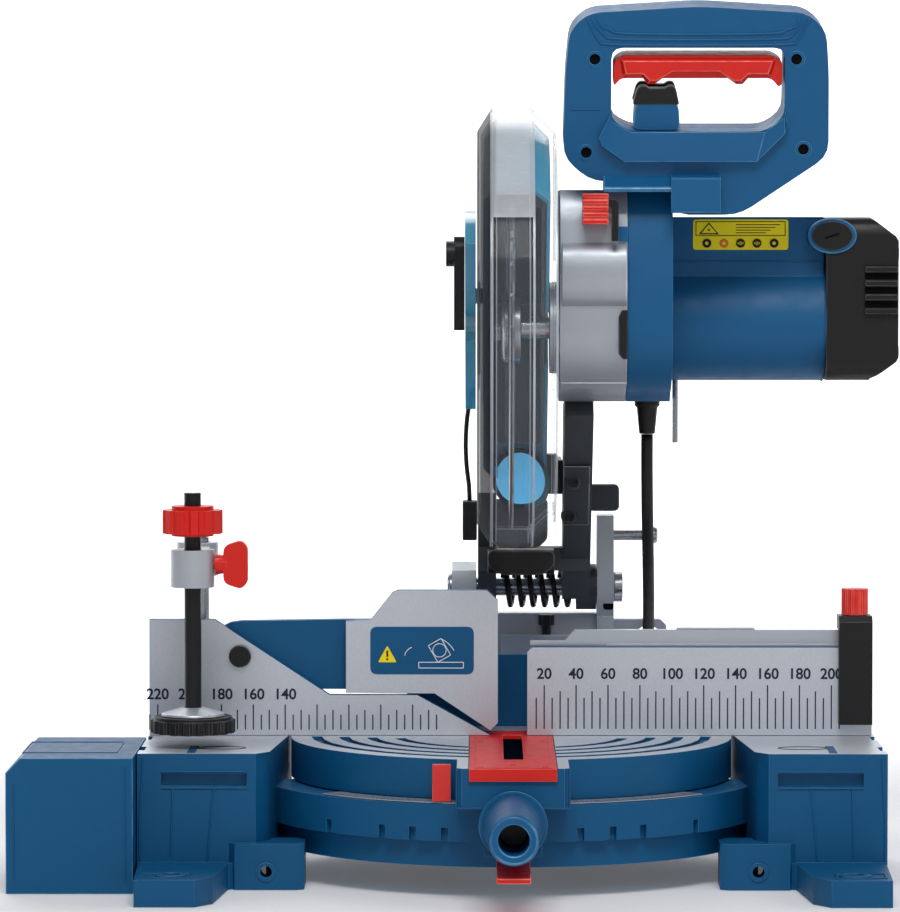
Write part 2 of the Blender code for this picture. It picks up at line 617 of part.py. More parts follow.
def head_castings(group):
    fork = [(CHOP[1] + 14, 158), (CHOP[1] + 15, 166), (CHOP[1] + 10, 177), (134, 222), (120, 228), (112, 216),
            (134, 160), (142, 151), (154, 150)]
    arm = prism("head_arm", "X", fork, -21, -9)
    spine = [(154, 150), (164, 158), (164, 171), (104, 286), (60, 290.5), (28, 290.5), (18, 282), (134, 158),
             (142, 151)]
    unite(arm, prism("arm_spine", "X", spine, 34, 52), cylinder("arm_hub", "X", CHOP[1:], 15, 43.5, 56.5, 28),
          box("cross_bar", (-21, 108, 178), (52, 127, 193)))
    cut(arm, cylinder("arm_pivot_bore", "X", CHOP[1:], 6.4, -60, 80, 24),
        cylinder("arm_hole_a", "X", (96, 238), 7, 20, 60, 20),
        cylinder("arm_hole_b", "X", (70, 266), 5, 20, 60, 20),
        cylinder("spring_room", "X", CHOP[1:], 17, -8.9, 43.4, 28))
    finish(arm, group, "dark_grey")
    housing = prism("gear_housing", "X", HOUSING, 30, 72)
    cut(housing, prism("gear_room", "X", inset(HOUSING, 6), 36, 80))
    unite(housing, cylinder("guard_boss", "X", BLADE[1:], 28.6, 23.9, 37, 36))
    cut(housing, cylinder("spindle_bore", "X", BLADE[1:], 13.4, 20, 45, 24))
    finish(housing, group, "silver")
    return group


def motor(group):
    y, z = MOTOR[1:]
    body = prism("motor_housing", "X", HOUSING, 72.3, 100)
    unite(body, cylinder("motor_barrel", "X", (y, z), 37.6, 90, 198, 36),
          box("label_block", (96, y - 24, z + 20), (197.5, y + 22, 407)))
    cut(body, cylinder("motor_room", "X", (y, z), 33.8, 77, 210, 32),
        cylinder("front_bore", "X", (y, z), 13.4, 60, 90, 24),
        cylinder("spindle_pocket", "X", BLADE[1:], 12, 60, 79.5, 24))
    cut(body, cylinder("brush_hole", "Z", (182, y - 2), 11, 396, 412, 28))
    finish(body, group, "blue")
    cap_face = rounded([(y - 38, 304), (y + 38, 304), (y + 38, 407), (y - 38, 407)], 12)
    cap = prism("motor_end_cap", "X", cap_face, 198.3, 246)
    slope = [(218, 298), (250, 298), (250, 321)]
    cut(cap, prism("cap_slope", "Y", slope, y - 60, y + 60),
        prism("cap_slope_top", "Y", [(220, 412), (250, 412), (250, 389)], y - 60, y + 60),
        cylinder("cap_room", "X", (y, z), 33.8, 190, 214, 36))
    for k in range(4):
        cut(cap, box(f"vent{k}", (237, y - 26, 332 + 14 * k), (250, y + 26, 338 + 14 * k)))
    finish(cap, group, "black")
    stator = turned("stator", "X", (y, z), [(22, 172), (33.4, 172), (33.4, 112), (22, 112)], 32)
    finish(stator, group, "steel")
    bearing = turned("front_bearing", "X", (y, z), [(4.9, 86), (13, 86), (13, 78), (4.9, 78)], 20)
    finish(bearing, group, "steel")
    rotor = empty("motor_axis", group, MOTOR)
    shaft = turned("motor_shaft", "X", (y, z), [(0, 212), (4.6, 212), (4.6, 48), (0, 48)], 16)
    unite(shaft, toothed("pinion", (y, z), PINION_TEETH, 9.0, 6.6, 50, 62))
    finish(shaft, rotor, "steel")
    finish(turned("armature", "X", (y, z), [(4.9, 170), (21, 170), (21, 114), (4.9, 114)], 24), rotor, "copper")
    fan = turned("motor_fan", "X", (y, z), [(4.9, 98), (30, 98), (30, 90), (24, 90), (24, 95), (4.9, 95)], 24)
    finish(fan, rotor, "black")


def toothed(name, at, teeth, outer, root, low, high, holes=()):
    outline = []
    for i in range(teeth):
        for share, r in ((0.0, root), (0.25, outer), (0.5, outer), (0.75, root)):
            a = 2 * pi * (i + share) / teeth
            outline.append((at[0] + r * cos(a), at[1] + r * sin(a)))
    return prism(name, "X", outline, low, high, holes)


def blade_train(group):
    spin = empty("blade_axis", group, BLADE)
    y, z = BLADE[1:]
    outline = []
    for i in range(TEETH):
        for share, r in ((0.0, BLADE_R - 7), (0.45, BLADE_R - 1.2), (0.82, BLADE_R), (0.86, BLADE_R - 7.5)):
            a = 2 * pi * (i + share) / TEETH
            outline.append((y + r * cos(a), z + r * sin(a)))
    blade = prism("blade", "X", outline, -BLADE_T / 2, BLADE_T / 2, [circle((y, z), 15, 24)])
    finish(blade, spin, "steel")
    spindle = turned("spindle", "X", (y, z), [(0, 79), (7, 79), (7, 6), (22, 6), (22, 1.5), (14.7, 1.5),
                     (14.7, -1.0), (7, -1.0), (7, -6), (0, -6)], 24)
    finish(spindle, spin, "steel")
    outer = turned("outer_flange", "X", (y, z), [(7.3, -1.5), (22, -1.5), (22, -4.5), (19, -6), (7.3, -6)], 28)
    finish(outer, spin, "steel")
    bolt = cylinder("arbor_bolt", "X", (y, z), 9, -13, -6.3, 6)
    finish(bolt, spin, "steel")
    gear = toothed("drive_gear", (y, z), GEAR_TEETH, 33.2, 30.8, 50, 60, [circle((y, z), 7.3, 20)])
    finish(gear, spin, "steel")


def guard_shell(name, radius, left, right, shoulder, wall):
    """A drum with sloping shoulders, hollow inside. left and right give the side's X and the crest's X."""
    y, z = BLADE[1:]
    outside = [(0, right[0]), (radius - shoulder, right[0]), (radius, right[1]), (radius, left[1]),
               (radius - shoulder, left[0]), (0, left[0])]
    inside = [(0, right[0] - wall), (radius - shoulder - wall, right[0] - wall), (radius - wall, right[1] - wall),
              (radius - wall, left[1] + wall), (radius - shoulder - wall, left[0] + wall), (0, left[0] + wall)]
    shell = turned(name, "X", (y, z), outside, 48)
    return cut(shell, turned(name + "_room", "X", (y, z), inside, 48))


def guards(group):
    y, z = BLADE[1:]
    rest = -CHOP_SWING
    upper = guard_shell("upper_guard", UPPER_R, (-17.5, -9), (23.5, 10), 14, 2.5)
    sector = arc((y, z), UPPER_R + 5, rest - 4, rest + 184, 12)
    boolean(upper, prism("upper_sector", "X", sector, -60, 60), "INTERSECT")
    cut(upper, cylinder("upper_bore", "X", (y, z), 25, 15, 30, 28),
        cylinder("upper_access", "X", (y, z), 14, -25, -10, 24))
    finish(upper, group, "teal")
    cover = prism("guard_hub_cover", "X", arc((y, z), 74, rest, rest + 180, 24), -29, -22.3)
    cut(cover, cylinder("cover_access", "X", (y, z), 12, -40, -15, 20))
    unite(cover, prism("cover_post", "X", circle(head_local(8, 20), 5, 12), -23, -17.8))
    finish(cover, group, "teal")

    swing = empty("guard_axis", group, BLADE)
    start, end = 137 + rest, 336 + rest
    lower = guard_shell("lower_guard", LOWER_R, (-21.5, -12), (28, 13), 15, 2.2)
    sector = arc((y, z), LOWER_R + 5, start, end, 12) + arc((y, z), 42, end, start + 360, 14)
    boolean(lower, prism("lower_sector", "X", sector, -60, 60), "INTERSECT")
    cut(lower, cylinder("lower_bore", "X", (y, z), 29.4, -30, 40, 32))
    finish(lower, swing, "clear")

    release = empty("guard_release_axis", group, (-33, y - 4, 352))
    lever = prism("guard_release_lever", "X", rounded([(y - 9, 336), (y + 1, 336), (y + 2, 390), (y - 4, 396),
                  (y - 10, 390)], 3), -36, -29.3)
    unite(lever, cylinder("release_knob", "X", (y - 4, 384), 8, -41, -35, 20))
    finish(lever, release, "black")


def add_ons(group):
    laser = prism("laser_module", "X", rounded([(78, 178), (107.7, 178), (107.7, 193), (84, 193), (78, 188)], 3),
                  -14.6, 28.3)
    finish(laser, group, "black")
    port = turned("dust_port", "Y", (6.3, 238.6), [(16, 186), (19, 186), (19, 141), (16, 141)], 32)
    unite(port, box("port_collar", (23, 141, 226), (31, 160, 252)),
          box("port_bracket", (29.5, 104, 228), (33.7, 158, 250)))
    cut(port, cylinder("port_bore", "Y", (6.3, 238.6), 16, 130, 200, 32))
    finish(port, group, "black")
    gland = turned("cord_gland", "Z", (87, 62), [(0, 290.7), (8, 290.7), (8, 287), (6.6, 286), (5, 269), (0, 269)], 20)
    finish(gland, group, "black")
    slide = empty("spindle_lock_axis", group, (51, -28, 412))
    lock = box("spindle_lock", (43.6, -38, 402.5), (59.6, -21.8, 421.5))
    for k in range(4):
        cut(lock, box(f"lock_rib{k}", (40, -40, 405.5 + 4 * k), (64, -36.6, 407 + 4 * k)))
    finish(lock, slide, "red")


HANDLE_OUT = [(49, 432), (31.6, 447), (33, 500), (35.5, 526), (47, 536.5), (115, 540.5), (181, 536.5),
              (193, 526), (195, 500), (195.6, 448), (141, 411), (100.6, 411), (100.6, 432)]
HANDLE_IN = [(61.2, 470), (61.2, 515), (168, 515), (168, 472), (156, 463), (74, 463)]
HANDLE_LEAN = radians(10)
HANDLE_Y = (-26.0, 8.0)


def handle(group):
    """A D-shaped grip in two shells, leaning towards the user, on a block that rests on the gear housing."""
    lean = Matrix.Translation(Vector((0, -9, 430)) * MM) @ Matrix.Rotation(HANDLE_LEAN, 4, "X")
    lean = lean @ Matrix.Translation(Vector((0, 9, -430)) * MM)
    front, back = HANDLE_Y
    middle = (front + back) / 2
    outer = rounded(HANDLE_OUT, 9)
    inner = rounded(HANDLE_IN, 7)
    leaned = []
    for name, low, high in (("handle_front_shell", front, middle - GAP / 2),
                            ("handle_rear_shell", middle + GAP / 2, back)):
        shell = prism(name, "Y", outer, low, high, [inner])
        soften(shell, 3.0, 60)
        pocket_low, pocket_high = (low + 3, high + 2) if low == front else (low - 2, high - 3)
        cut(shell, prism(name + "_hollow", "Y", rounded([(54, 520), (174, 520), (174, 531), (54, 531)], 4),
                         pocket_low, pocket_high))
        for x, z in ((51, 508), (175, 508), (46, 450), (180, 452)):
            if low == front:
                hole = cylinder(f"screw_hole{x}{z}", "Y", (x, z), 3.4, front - 2, front + 4, 16)
                cut(shell, hole)
                leaned.append(hole)
        leaned.append(shell)
        finish(shell, group, "blue")
        leaned.extend(m.object for m in shell.modifiers if m.type == "BOOLEAN" and m.object not in leaned)
    trigger_axis = empty("trigger_axis", group, (114, -12, 497))
    trigger = prism("trigger", "Y", rounded([(62.6, 490), (67, 495.5), (160, 495.5), (164.5, 490), (166.6, 492),
                    (166.6, 506), (160, 510), (68, 510), (62.6, 506)], 3), front + 5, back - 8)
    finish(trigger, trigger_axis, "red")
    soften(trigger, 2.0, 50)
    boss = prism("lock_off_boss", "Y", rounded([(75, 463.5), (76, 478), (80, 483), (99, 483), (103, 478),
                 (104, 463.5)], 4), front + 4, back - 6)
    cut(boss, box("button_well", (80, middle - 6, 475), (99, middle + 6, 486)))
    finish(boss, group, "blue")
    button_axis = empty("lock_off_axis", group, (89.5, -9, 480))
    button = box("lock_off_button", (80.4, middle - 5.6, 479), (98.6, middle + 5.6, 488))
    finish(button, button_axis, "black")
    for item in [*leaned, trigger, boss, button, bpy.data.objects["button_well"]]:
        item.matrix_basis = lean @ item.matrix_basis


# ---------------------------------------------------------------- mains cord

CORD_D = 7.6
CORD_DROP = [(87, 62, 268.7), (87, 62, 250), (87.3, 66, 230), (88, 76, 207), (89, 93, 184), (90, 114, 163),
             (90.7, 134, 146), (91, 150, 134), (91, 156, 131), (91, 168, 124.5)]
CORD_TAIL = [(91, 168.9, 124.0), (90, 184, 112), (87, 199, 92), (83, 210, 66), (79, 221, 38), (74, 233, 17),
             (69, 241, 8), (62, 246.5, 4.6), (53, 252, 4.2), (45.5, 259.5, 4.2)]
COIL_AT = (-12.0, 264.0)
COIL_R = 42.0


def smooth_route(points, step):
    """Evenly spaced points on a Catmull-Rom curve through the route."""
    places = [Vector(p) for p in points]
    padded = [places[0] * 2 - places[1], *places, places[-1] * 2 - places[-2]]
    route = []
    for a, b, c, d in zip(padded, padded[1:], padded[2:], padded[3:]):
        count = max(1, round((c - b).length / step))
        for k in range(count):
            t = k / count
            route.append(0.5 * (2 * b + (c - a) * t + (2 * a - 5 * b + 4 * c - d) * t ** 2
                                + (3 * b - a - 3 * c + d) * t ** 3))
    return [*route, places[-1]]


def cord(head_group, table):
    finish(tube("cord_drop", smooth_route(CORD_DROP, 16), CORD_D / 2), head_group, "black")
    finish(tube("cord_tail", smooth_route(CORD_TAIL, 16), CORD_D / 2), table, "black")
    ring = [(COIL_R - 12.4, 28), (COIL_R + 12.4, 28), (COIL_R + 12.4, 0.3), (COIL_R - 12.4, 0.3)]
    finish(turned("cord_coil", "Z", COIL_AT, ring, 32), table, "black")
    plug = prism("plug", "X", rounded([(302, 0.4), (343, 0.4), (343, 26), (323, 26), (302, 18)], 4),
                 28.5, 64.5)
    unite(plug, cylinder("plug_lead", "Y", (46.5, 13), CORD_D / 2, 262, 304, 20))
    for x in (37, 56):
        unite(plug, cylinder(f"prong{x}", "Y", (x, 13), 2.4, 341, 362, 12))
    finish(plug, table, "black")


def build():
    base_casting()
    base_fittings()
    fence()
    fence_fittings()
    side_extension()
    flip_fence()
    length_stop()
    clamp()
    table = turntable()
    mitre_lock(table)
    rear = bevel_arm(table)
    head = empty("chop_axis", rear, CHOP)
    head_castings(head)
    motor(head)
    blade_train(head)
    guards(head)
    add_ons(head)
    handle(head)
    cord(rear, table)


build()
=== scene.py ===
"""Looks of the bench-top compound mitre saw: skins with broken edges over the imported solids, the mains cord,
rulers, labels, screws and the other small parts, procedural materials, a pale studio and the camera.

Lengths in the builders below are millimetres in the saw's own layout (X right, Y back with the fence face at
Y = 0, Z up, mitre axis on X = Y = 0). place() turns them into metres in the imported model's frame.
"""
import json
from math import cos, pi, radians, sin

import bmesh
import bpy
from mathutils import Matrix, Vector

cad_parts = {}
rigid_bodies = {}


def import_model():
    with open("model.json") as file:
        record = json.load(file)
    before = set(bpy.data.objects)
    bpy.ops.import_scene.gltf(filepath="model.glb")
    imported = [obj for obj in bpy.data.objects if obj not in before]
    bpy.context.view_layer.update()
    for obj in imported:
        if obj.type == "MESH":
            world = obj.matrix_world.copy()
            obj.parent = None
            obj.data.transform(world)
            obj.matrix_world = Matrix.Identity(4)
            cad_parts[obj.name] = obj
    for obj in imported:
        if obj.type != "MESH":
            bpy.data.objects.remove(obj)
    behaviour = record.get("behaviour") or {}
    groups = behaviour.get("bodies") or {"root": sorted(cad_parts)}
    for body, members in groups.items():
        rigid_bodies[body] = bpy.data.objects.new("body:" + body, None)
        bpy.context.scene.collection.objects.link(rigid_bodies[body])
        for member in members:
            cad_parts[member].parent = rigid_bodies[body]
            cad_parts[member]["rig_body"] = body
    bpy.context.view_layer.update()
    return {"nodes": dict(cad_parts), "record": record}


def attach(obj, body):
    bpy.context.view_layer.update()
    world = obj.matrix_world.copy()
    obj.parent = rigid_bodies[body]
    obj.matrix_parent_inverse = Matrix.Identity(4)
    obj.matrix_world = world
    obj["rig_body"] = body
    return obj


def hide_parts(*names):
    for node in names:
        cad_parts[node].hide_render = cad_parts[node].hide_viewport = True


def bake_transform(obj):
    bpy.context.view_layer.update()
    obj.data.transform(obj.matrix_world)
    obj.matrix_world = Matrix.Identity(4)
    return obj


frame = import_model()

MM = 0.001
SHIFT = Vector((29.5, 37.0, 0.0))

# Driving dimensions, in millimetres of the saw's layout. BLADE and MOTOR are the (Y, Z) of their axes, and
# CHUTE_AT is (X, Z). GUARD_SWEEP is the swinging guard's first and last degree about the blade. The chute's
# disc keeps its radius up to CHUTE_FLAT from X = 0 and loses CHUTE_BEND for each millimetre beyond. The
# handle leans HANDLE_LEAN degrees forward about HANDLE_FOOT.
TABLE_Z = 82.0
BLADE = (19.6, 337.5)
MOTOR = (62.0, 340.8)
MOTOR_FACE_Y = 38.0
END_CAP_X = 243.9
HANDLE_FRONT = -26.0
BLOCK_FRONT_Y = -104.0
MITRE_SCALE_R = 154.4
GUARD_SWEEP = (92, 289)
GUARD_SLOPE_X = -13.0
GUARD_BROW_Z = 414
CHUTE_AT = (6.3, 238.6)
CHUTE_FLAT = 9
CHUTE_BEND = 1.6
HANDLE_FOOT = (0, -9, 430)
HANDLE_LEAN = 10

# The mains cord: its thickness, the drop from the motor, the tail to the floor, the centre of the coil, the
# (radius, Z) of its turns, where the plug lies, and the degrees over which one turn crosses to the next
CORD_D = 7.6
CORD_DROP = [(87, 62, 268.7), (87, 62, 250), (87.3, 66, 230), (88, 76, 207), (89, 93, 184), (90, 114, 163),
             (90.7, 134, 146), (91, 150, 134), (91, 156, 131), (91, 168, 124.5)]
CORD_TAIL = [(91, 168.9, 124.0), (90, 184, 112), (87, 199, 92), (83, 210, 66), (79, 221, 38), (74, 233, 17),
             (69, 241, 8), (62, 246.5, 4.6), (53, 252, 4.2)]
COIL_AT = (-12.0, 264.0)
COIL_CELLS = [(50.0, 4.1), (42.0, 4.1), (34.0, 4.1), (34.0, 12.1), (34.0, 20.1), (42.0, 20.1), (50.0, 20.1),
              (50.0, 12.1)]
PLUG_X = 46.5
PLUG_Z = 13.0
COIL_TURNS = 7
COIL_CROSSING = 40

CAMERA_AT = (0.0105, -2.963, 0.402)
CAMERA_LOOK = (-0.00646, 1.0, -0.0481)
CAMERA_LENS = 189.47


def place(x, y, z):
    """A point of the saw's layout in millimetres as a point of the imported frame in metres."""
    return (Vector((x, y, z)) + SHIFT) * MM


# ---------------------------------------------------------------- materials

def srgb(r, g, b):
    """0-255 display values as linear colour."""
    def linear(v):
        v /= 255
        return v / 12.92 if v <= 0.04045 else ((v + 0.055) / 1.055) ** 2.4
    return (linear(r), linear(g), linear(b), 1.0)


def scaled(colour, factor):
    return (*[min(1.0, c * factor) for c in colour[:3]], 1.0)


def preset(node, **inputs):
    """Sets inputs of a shader node; an underscore in a keyword stands for a space."""
    for key, value in inputs.items():
        node.inputs[key.replace("_", " ")].default_value = value
    return node


class Look:
    """Builds one Principled material from layers of noise."""

    def __init__(self, name):
        self.material = bpy.data.materials.new(name)
        self.material.use_nodes = True
        self.tree = self.material.node_tree
        self.shader = self.tree.nodes["Principled BSDF"]
        self.place = self.node("ShaderNodeTexCoord")

    def node(self, kind, **inputs):
        return preset(self.tree.nodes.new(kind), **inputs)

    def link(self, out, into):
        self.tree.links.new(out, into)

    def noise(self, scale, detail=3.0, stretch=None):
        noise = self.node("ShaderNodeTexNoise", Scale=scale, Detail=detail)
        source = self.place.outputs["Object"]
        if stretch:
            mapping = self.node("ShaderNodeMapping", Scale=stretch)
            self.link(source, mapping.inputs["Vector"])
            source = mapping.outputs["Vector"]
        self.link(source, noise.inputs["Vector"])
        return noise.outputs["Fac"]

    def ramp(self, source, low, high, from_low=0.35, from_high=0.65):
        """A colour ramp between two colours or greys."""
        ramp = self.node("ShaderNodeValToRGB")
        first, last = ramp.color_ramp.elements
        first.position, last.position = from_low, from_high
        first.color, last.color = low, high
        self.link(source, ramp.inputs["Fac"])
        return ramp.outputs["Color"]

    def spread(self, source, low, high, from_low=0.3, from_high=0.7):
        spread = self.node("ShaderNodeMapRange", From_Min=from_low, From_Max=from_high, To_Min=low,
                           To_Max=high)
        self.link(source, spread.inputs["Value"])
        return spread.outputs["Result"]

    def maths(self, operation, a, b):
        made = self.node("ShaderNodeMath")
        made.operation = operation
        for socket, value in zip(made.inputs, (a, b)):
            if isinstance(value, (int, float)):
                socket.default_value = value
            else:
                self.link(value, socket)
        return made.outputs["Value"]

    def mix(self, factor, a, b):
        made = self.node("ShaderNodeMix")
        made.data_type = "RGBA"
        for socket, value in ((made.inputs[0], factor), (made.inputs[6], a), (made.inputs[7], b)):
            if isinstance(value, (tuple, float)):
                socket.default_value = value
            else:
                self.link(value, socket)
        return made.outputs[2]

    def bump(self, *heights):
        """Bump from (noise, strength, distance in metres) layers."""
        normal = None
        for height, strength, distance in heights:
            bump = self.node("ShaderNodeBump", Strength=strength, Distance=distance)
            self.link(height, bump.inputs["Height"])
            if normal:
                self.link(normal, bump.inputs["Normal"])
            normal = bump.outputs["Normal"]
        self.link(normal, self.shader.inputs["Normal"])

    def facing(self, axis, sign, beyond, limit=0.9):
        """1 where the surface faces along an axis and lies past the coordinate beyond, in metres."""
        sides = []
        for output, least in (("Normal", limit), ("Object", beyond * sign)):
            parts = self.node("ShaderNodeSeparateXYZ")
            self.link(self.place.outputs[output], parts.inputs["Vector"])
            along = self.maths("MULTIPLY", parts.outputs[axis], sign)
            sides.append(self.maths("GREATER_THAN", along, least))
        return self.maths("MULTIPLY", *sides)

    def finish(self, base, roughness):
        """Connects the colour and the roughness and returns the material."""
        self.link(base, self.shader.inputs["Base Color"])
        self.link(roughness, self.shader.inputs["Roughness"])
        return self.material


def finish_look(name, colour, rough, metal=0.0, tone=0.04, cloud=22.0, grain=1400.0, depth=0.00006,
                strength=0.25, bare=None, brushed=None, spread=0.06, gloss=0.5):
    """A surface of one colour with faintly clouded tone, uneven roughness and grain.
    bare=(axis, sign, beyond, stretch) leaves machined metal on the faces that look that way."""
    look = Look(name)
    preset(look.shader, Metallic=metal, Specular_IOR_Level=gloss)
    clouds = look.noise(cloud, 3.0)
    base = look.ramp(clouds, scaled(colour, 1 - tone), scaled(colour, 1 + tone), 0.2, 0.8)
    rough_map = look.spread(look.noise(cloud * 6, 5.0), max(0.03, rough - spread), min(1.0, rough + spread))
    grain_noise = look.noise(grain, 2.0, brushed)
    if bare:
        axis, sign, beyond, stretch = bare
        mask = look.facing(axis, sign, beyond)
        lines = look.noise(520.0, 3.0, stretch)
        cut = look.ramp(lines, srgb(188, 194, 203), srgb(216, 221, 229), 0.3, 0.7)
        base = look.mix(mask, base, cut)
        painted = look.maths("MULTIPLY", rough_map, look.maths("SUBTRACT", 1.0, mask))
        machined = look.maths("MULTIPLY", look.spread(lines, 0.34, 0.48), mask)
        rough_map = look.maths("ADD", painted, machined)
        look.link(look.maths("MULTIPLY", mask, 0.5), look.shader.inputs["Metallic"])
    look.bump((look.noise(260.0, 3.0), strength * 0.5, 0.0001), (grain_noise, strength, depth))
    return look.finish(base, rough_map)


def edge_look(name, colour, rubbed_and_highlit, rough=0.34, metal=0.0):
    """The broken edges of a piece: lighter in patches, partly rubbed wear and partly a painted highlight along
    the edge.
    """
    look = Look(name)
    preset(look.shader, Metallic=metal)
    look.bump((look.noise(700.0, 2.0), 0.15, 0.00005))
    return look.finish(look.ramp(look.noise(70.0, 6.0), colour, rubbed_and_highlit, 0.34, 0.62),
                       look.spread(look.noise(200.0, 4.0), rough - 0.06, rough + 0.08))


def clear_look(name, colour, rough, cover, gloss=0.7, coat=0.4):
    """Moulded see-through plastic that covers what is behind it only in part, with faint scuffs."""
    look = Look(name)
    preset(look.shader, Alpha=cover, IOR=1.49, Specular_IOR_Level=gloss, Coat_Weight=coat)
    look.bump((look.noise(18.0, 2.0), 0.2, 0.0006), (look.noise(900.0, 2.0), 0.08, 0.00004))
    scuffs = look.noise(120.0, 6.0, (1.0, 9.0, 1.0))
    return look.finish(look.ramp(look.noise(30.0, 4.0), scaled(colour, 0.94), scaled(colour, 1.04)),
                       look.spread(scuffs, rough, rough + 0.12, 0.45, 0.7))


def glowing(material, colour, strength):
    """Adds an even glow: painted light that keeps a piece bright in shade, though it is no lamp."""
    preset(material.node_tree.nodes["Principled BSDF"], Emission_Color=colour, Emission_Strength=strength)
    return material


BLUE = srgb(0, 84, 130)
LOOKS = {
    "blue_casting": finish_look("blue_casting_paint", BLUE, 0.52, grain=900.0, strength=0.22, gloss=0.3,
                                bare=("Z", 1, 0.0799, (1.0, 26.0, 1.0))),
    "blue_paint": finish_look("blue_enamel", BLUE, 0.52, grain=900.0, strength=0.22, gloss=0.3),
    "fence_metal": finish_look("fence_paint_and_machined_face", BLUE, 0.5, grain=900.0, gloss=0.3,
                               bare=("Y", -1, 0.0376, (26.0, 1.0, 1.0))),
    "silver_casting": finish_look("cast_aluminium", srgb(184, 189, 197), 0.42, metal=0.5, grain=700.0,
                                  strength=0.35),
    "gear_casting": finish_look("grey_cast_aluminium", srgb(172, 178, 186), 0.42, metal=0.4, grain=800.0,
                                strength=0.3),
    "rail_metal": finish_look("anodised_strip", srgb(190, 194, 202), 0.36, metal=0.6, grain=500.0,
                              brushed=(1.0, 22.0, 22.0)),
    "dark_casting": finish_look("dark_cast_alloy", srgb(66, 70, 75), 0.5, metal=0.2, tone=0.07, grain=800.0,
                                strength=0.35, gloss=0.4),
    "black_steel": finish_look("blackened_steel", srgb(30, 30, 31), 0.34, metal=0.5, tone=0.08, grain=900.0),
    "steel": finish_look("turned_steel", srgb(168, 170, 174), 0.28, metal=0.95, tone=0.06, grain=900.0,
                         brushed=(14.0, 1.0, 14.0)),
    "blade_steel": finish_look("ground_blade_steel", srgb(176, 179, 184), 0.4, metal=0.7, tone=0.02,
                               cloud=6.0, grain=600.0, brushed=(1.0, 10.0, 1.0), strength=0.06, spread=0.02),
    "black_plastic": finish_look("black_nylon", srgb(17, 17, 18), 0.46, tone=0.12, grain=2200.0, strength=0.3,
                                 gloss=0.35),
    "blue_plastic": finish_look("blue_filled_nylon", srgb(0, 86, 134), 0.5, grain=2400.0, strength=0.28,
                                gloss=0.35),
    "red_plastic": finish_look("red_moulded_plastic", srgb(216, 30, 20), 0.38, tone=0.05, grain=2400.0,
                               strength=0.2, gloss=0.35),
    "clear_plastic": clear_look("clear_polycarbonate", srgb(196, 210, 220), 0.06, 0.05),
    # Paler and more opaque than clear_plastic: a painted highlight for the bright edges and ribs of the clear
    # guard.
    "clear_rib": clear_look("clear_polycarbonate_edge", srgb(214, 222, 230), 0.1, 0.42),
    "frosted_plastic": clear_look("frosted_polycarbonate", srgb(226, 232, 238), 0.2, 0.5),
    # Painted shade: dark grey, nearly opaque clear plastic for the upper guard's side seen through the
    # swinging guard in shade.
    "painted_shade_plastic": clear_look("clear_polycarbonate_painted_shade", srgb(40, 48, 54), 0.75, 0.74, gloss=0.1,
                                coat=0.0),
    "teal_plastic": clear_look("teal_translucent_plastic", srgb(64, 168, 204), 0.14, 0.88),
    # Painted light: the cyan insert glows so that it stays bright where it lies in shade.
    "cyan_plastic": glowing(finish_look("cyan_moulded_insert", srgb(96, 182, 226), 0.45, grain=2000.0),
                            srgb(96, 182, 226), 0.55),
    "copper": finish_look("enamelled_copper", srgb(176, 96, 52), 0.34, metal=0.85, tone=0.14, grain=600.0,
                          brushed=(1.0, 30.0, 30.0)),
    "cord_rubber": finish_look("black_cord_sheath", srgb(24, 23, 24), 0.52, tone=0.12, grain=3000.0,
                               strength=0.35, depth=0.00004, gloss=0.35),
    "ink": finish_look("dark_blue_ink", srgb(28, 40, 62), 0.5, strength=0.05, gloss=0.3),
    "white_ink": finish_look("white_ink", srgb(232, 236, 240), 0.5, strength=0.05),
    "yellow": finish_look("yellow_label_film", srgb(248, 226, 12), 0.4, strength=0.06, gloss=0.3),
    "orange": finish_look("orange_ink", srgb(226, 120, 34), 0.4, strength=0.05),
    "black_ink": finish_look("black_label_ink", srgb(24, 24, 22), 0.42, strength=0.05, gloss=0.3),
    # Painted shade: near black for screws sunk in holes, slots, gaps and the space behind the blade, where
    # there is only shade.
    "shadow": finish_look("recess_painted_shade", srgb(8, 8, 9), 0.8, tone=0.2, strength=0.1, gloss=0.1),
}
# Edge looks for the bevel faces: lighter than the body, partly rubbed wear and partly a painted highlight
# along the edges.
BLUE_EDGE = edge_look("blue_rubbed_and_highlit_edge", scaled(BLUE, 1.25), srgb(76, 142, 186))
EDGE_WEAR_AND_HIGHLIGHT = {
    "blue_casting": BLUE_EDGE, "blue_paint": BLUE_EDGE, "blue_plastic": BLUE_EDGE, "fence_metal": BLUE_EDGE,
    "silver_casting": edge_look("bright_casting_edge", srgb(176, 180, 188), srgb(226, 230, 236), 0.32, 0.6),
    "gear_casting": edge_look("grey_casting_edge", srgb(168, 172, 180), srgb(216, 220, 226), 0.32, 0.5),
    "dark_casting": edge_look("dark_casting_edge", srgb(78, 82, 88), srgb(128, 134, 140), 0.36, 0.3),
    "black_steel": edge_look("bare_and_highlit_steel_edge", srgb(40, 40, 42), srgb(120, 122, 126), 0.3, 0.7),
    "black_plastic": edge_look("black_nylon_edge", srgb(28, 28, 30), srgb(72, 72, 76), 0.4),
    "red_plastic": edge_look("red_plastic_edge", srgb(224, 44, 34), srgb(246, 116, 100), 0.34),
    "clear_plastic": LOOKS["clear_rib"],
}


# ---------------------------------------------------------------- mesh helpers

def linked(name, data):
    """A new object with this data, in the scene."""
    made = bpy.data.objects.new(name, data)
    bpy.context.scene.collection.objects.link(made)
    return made


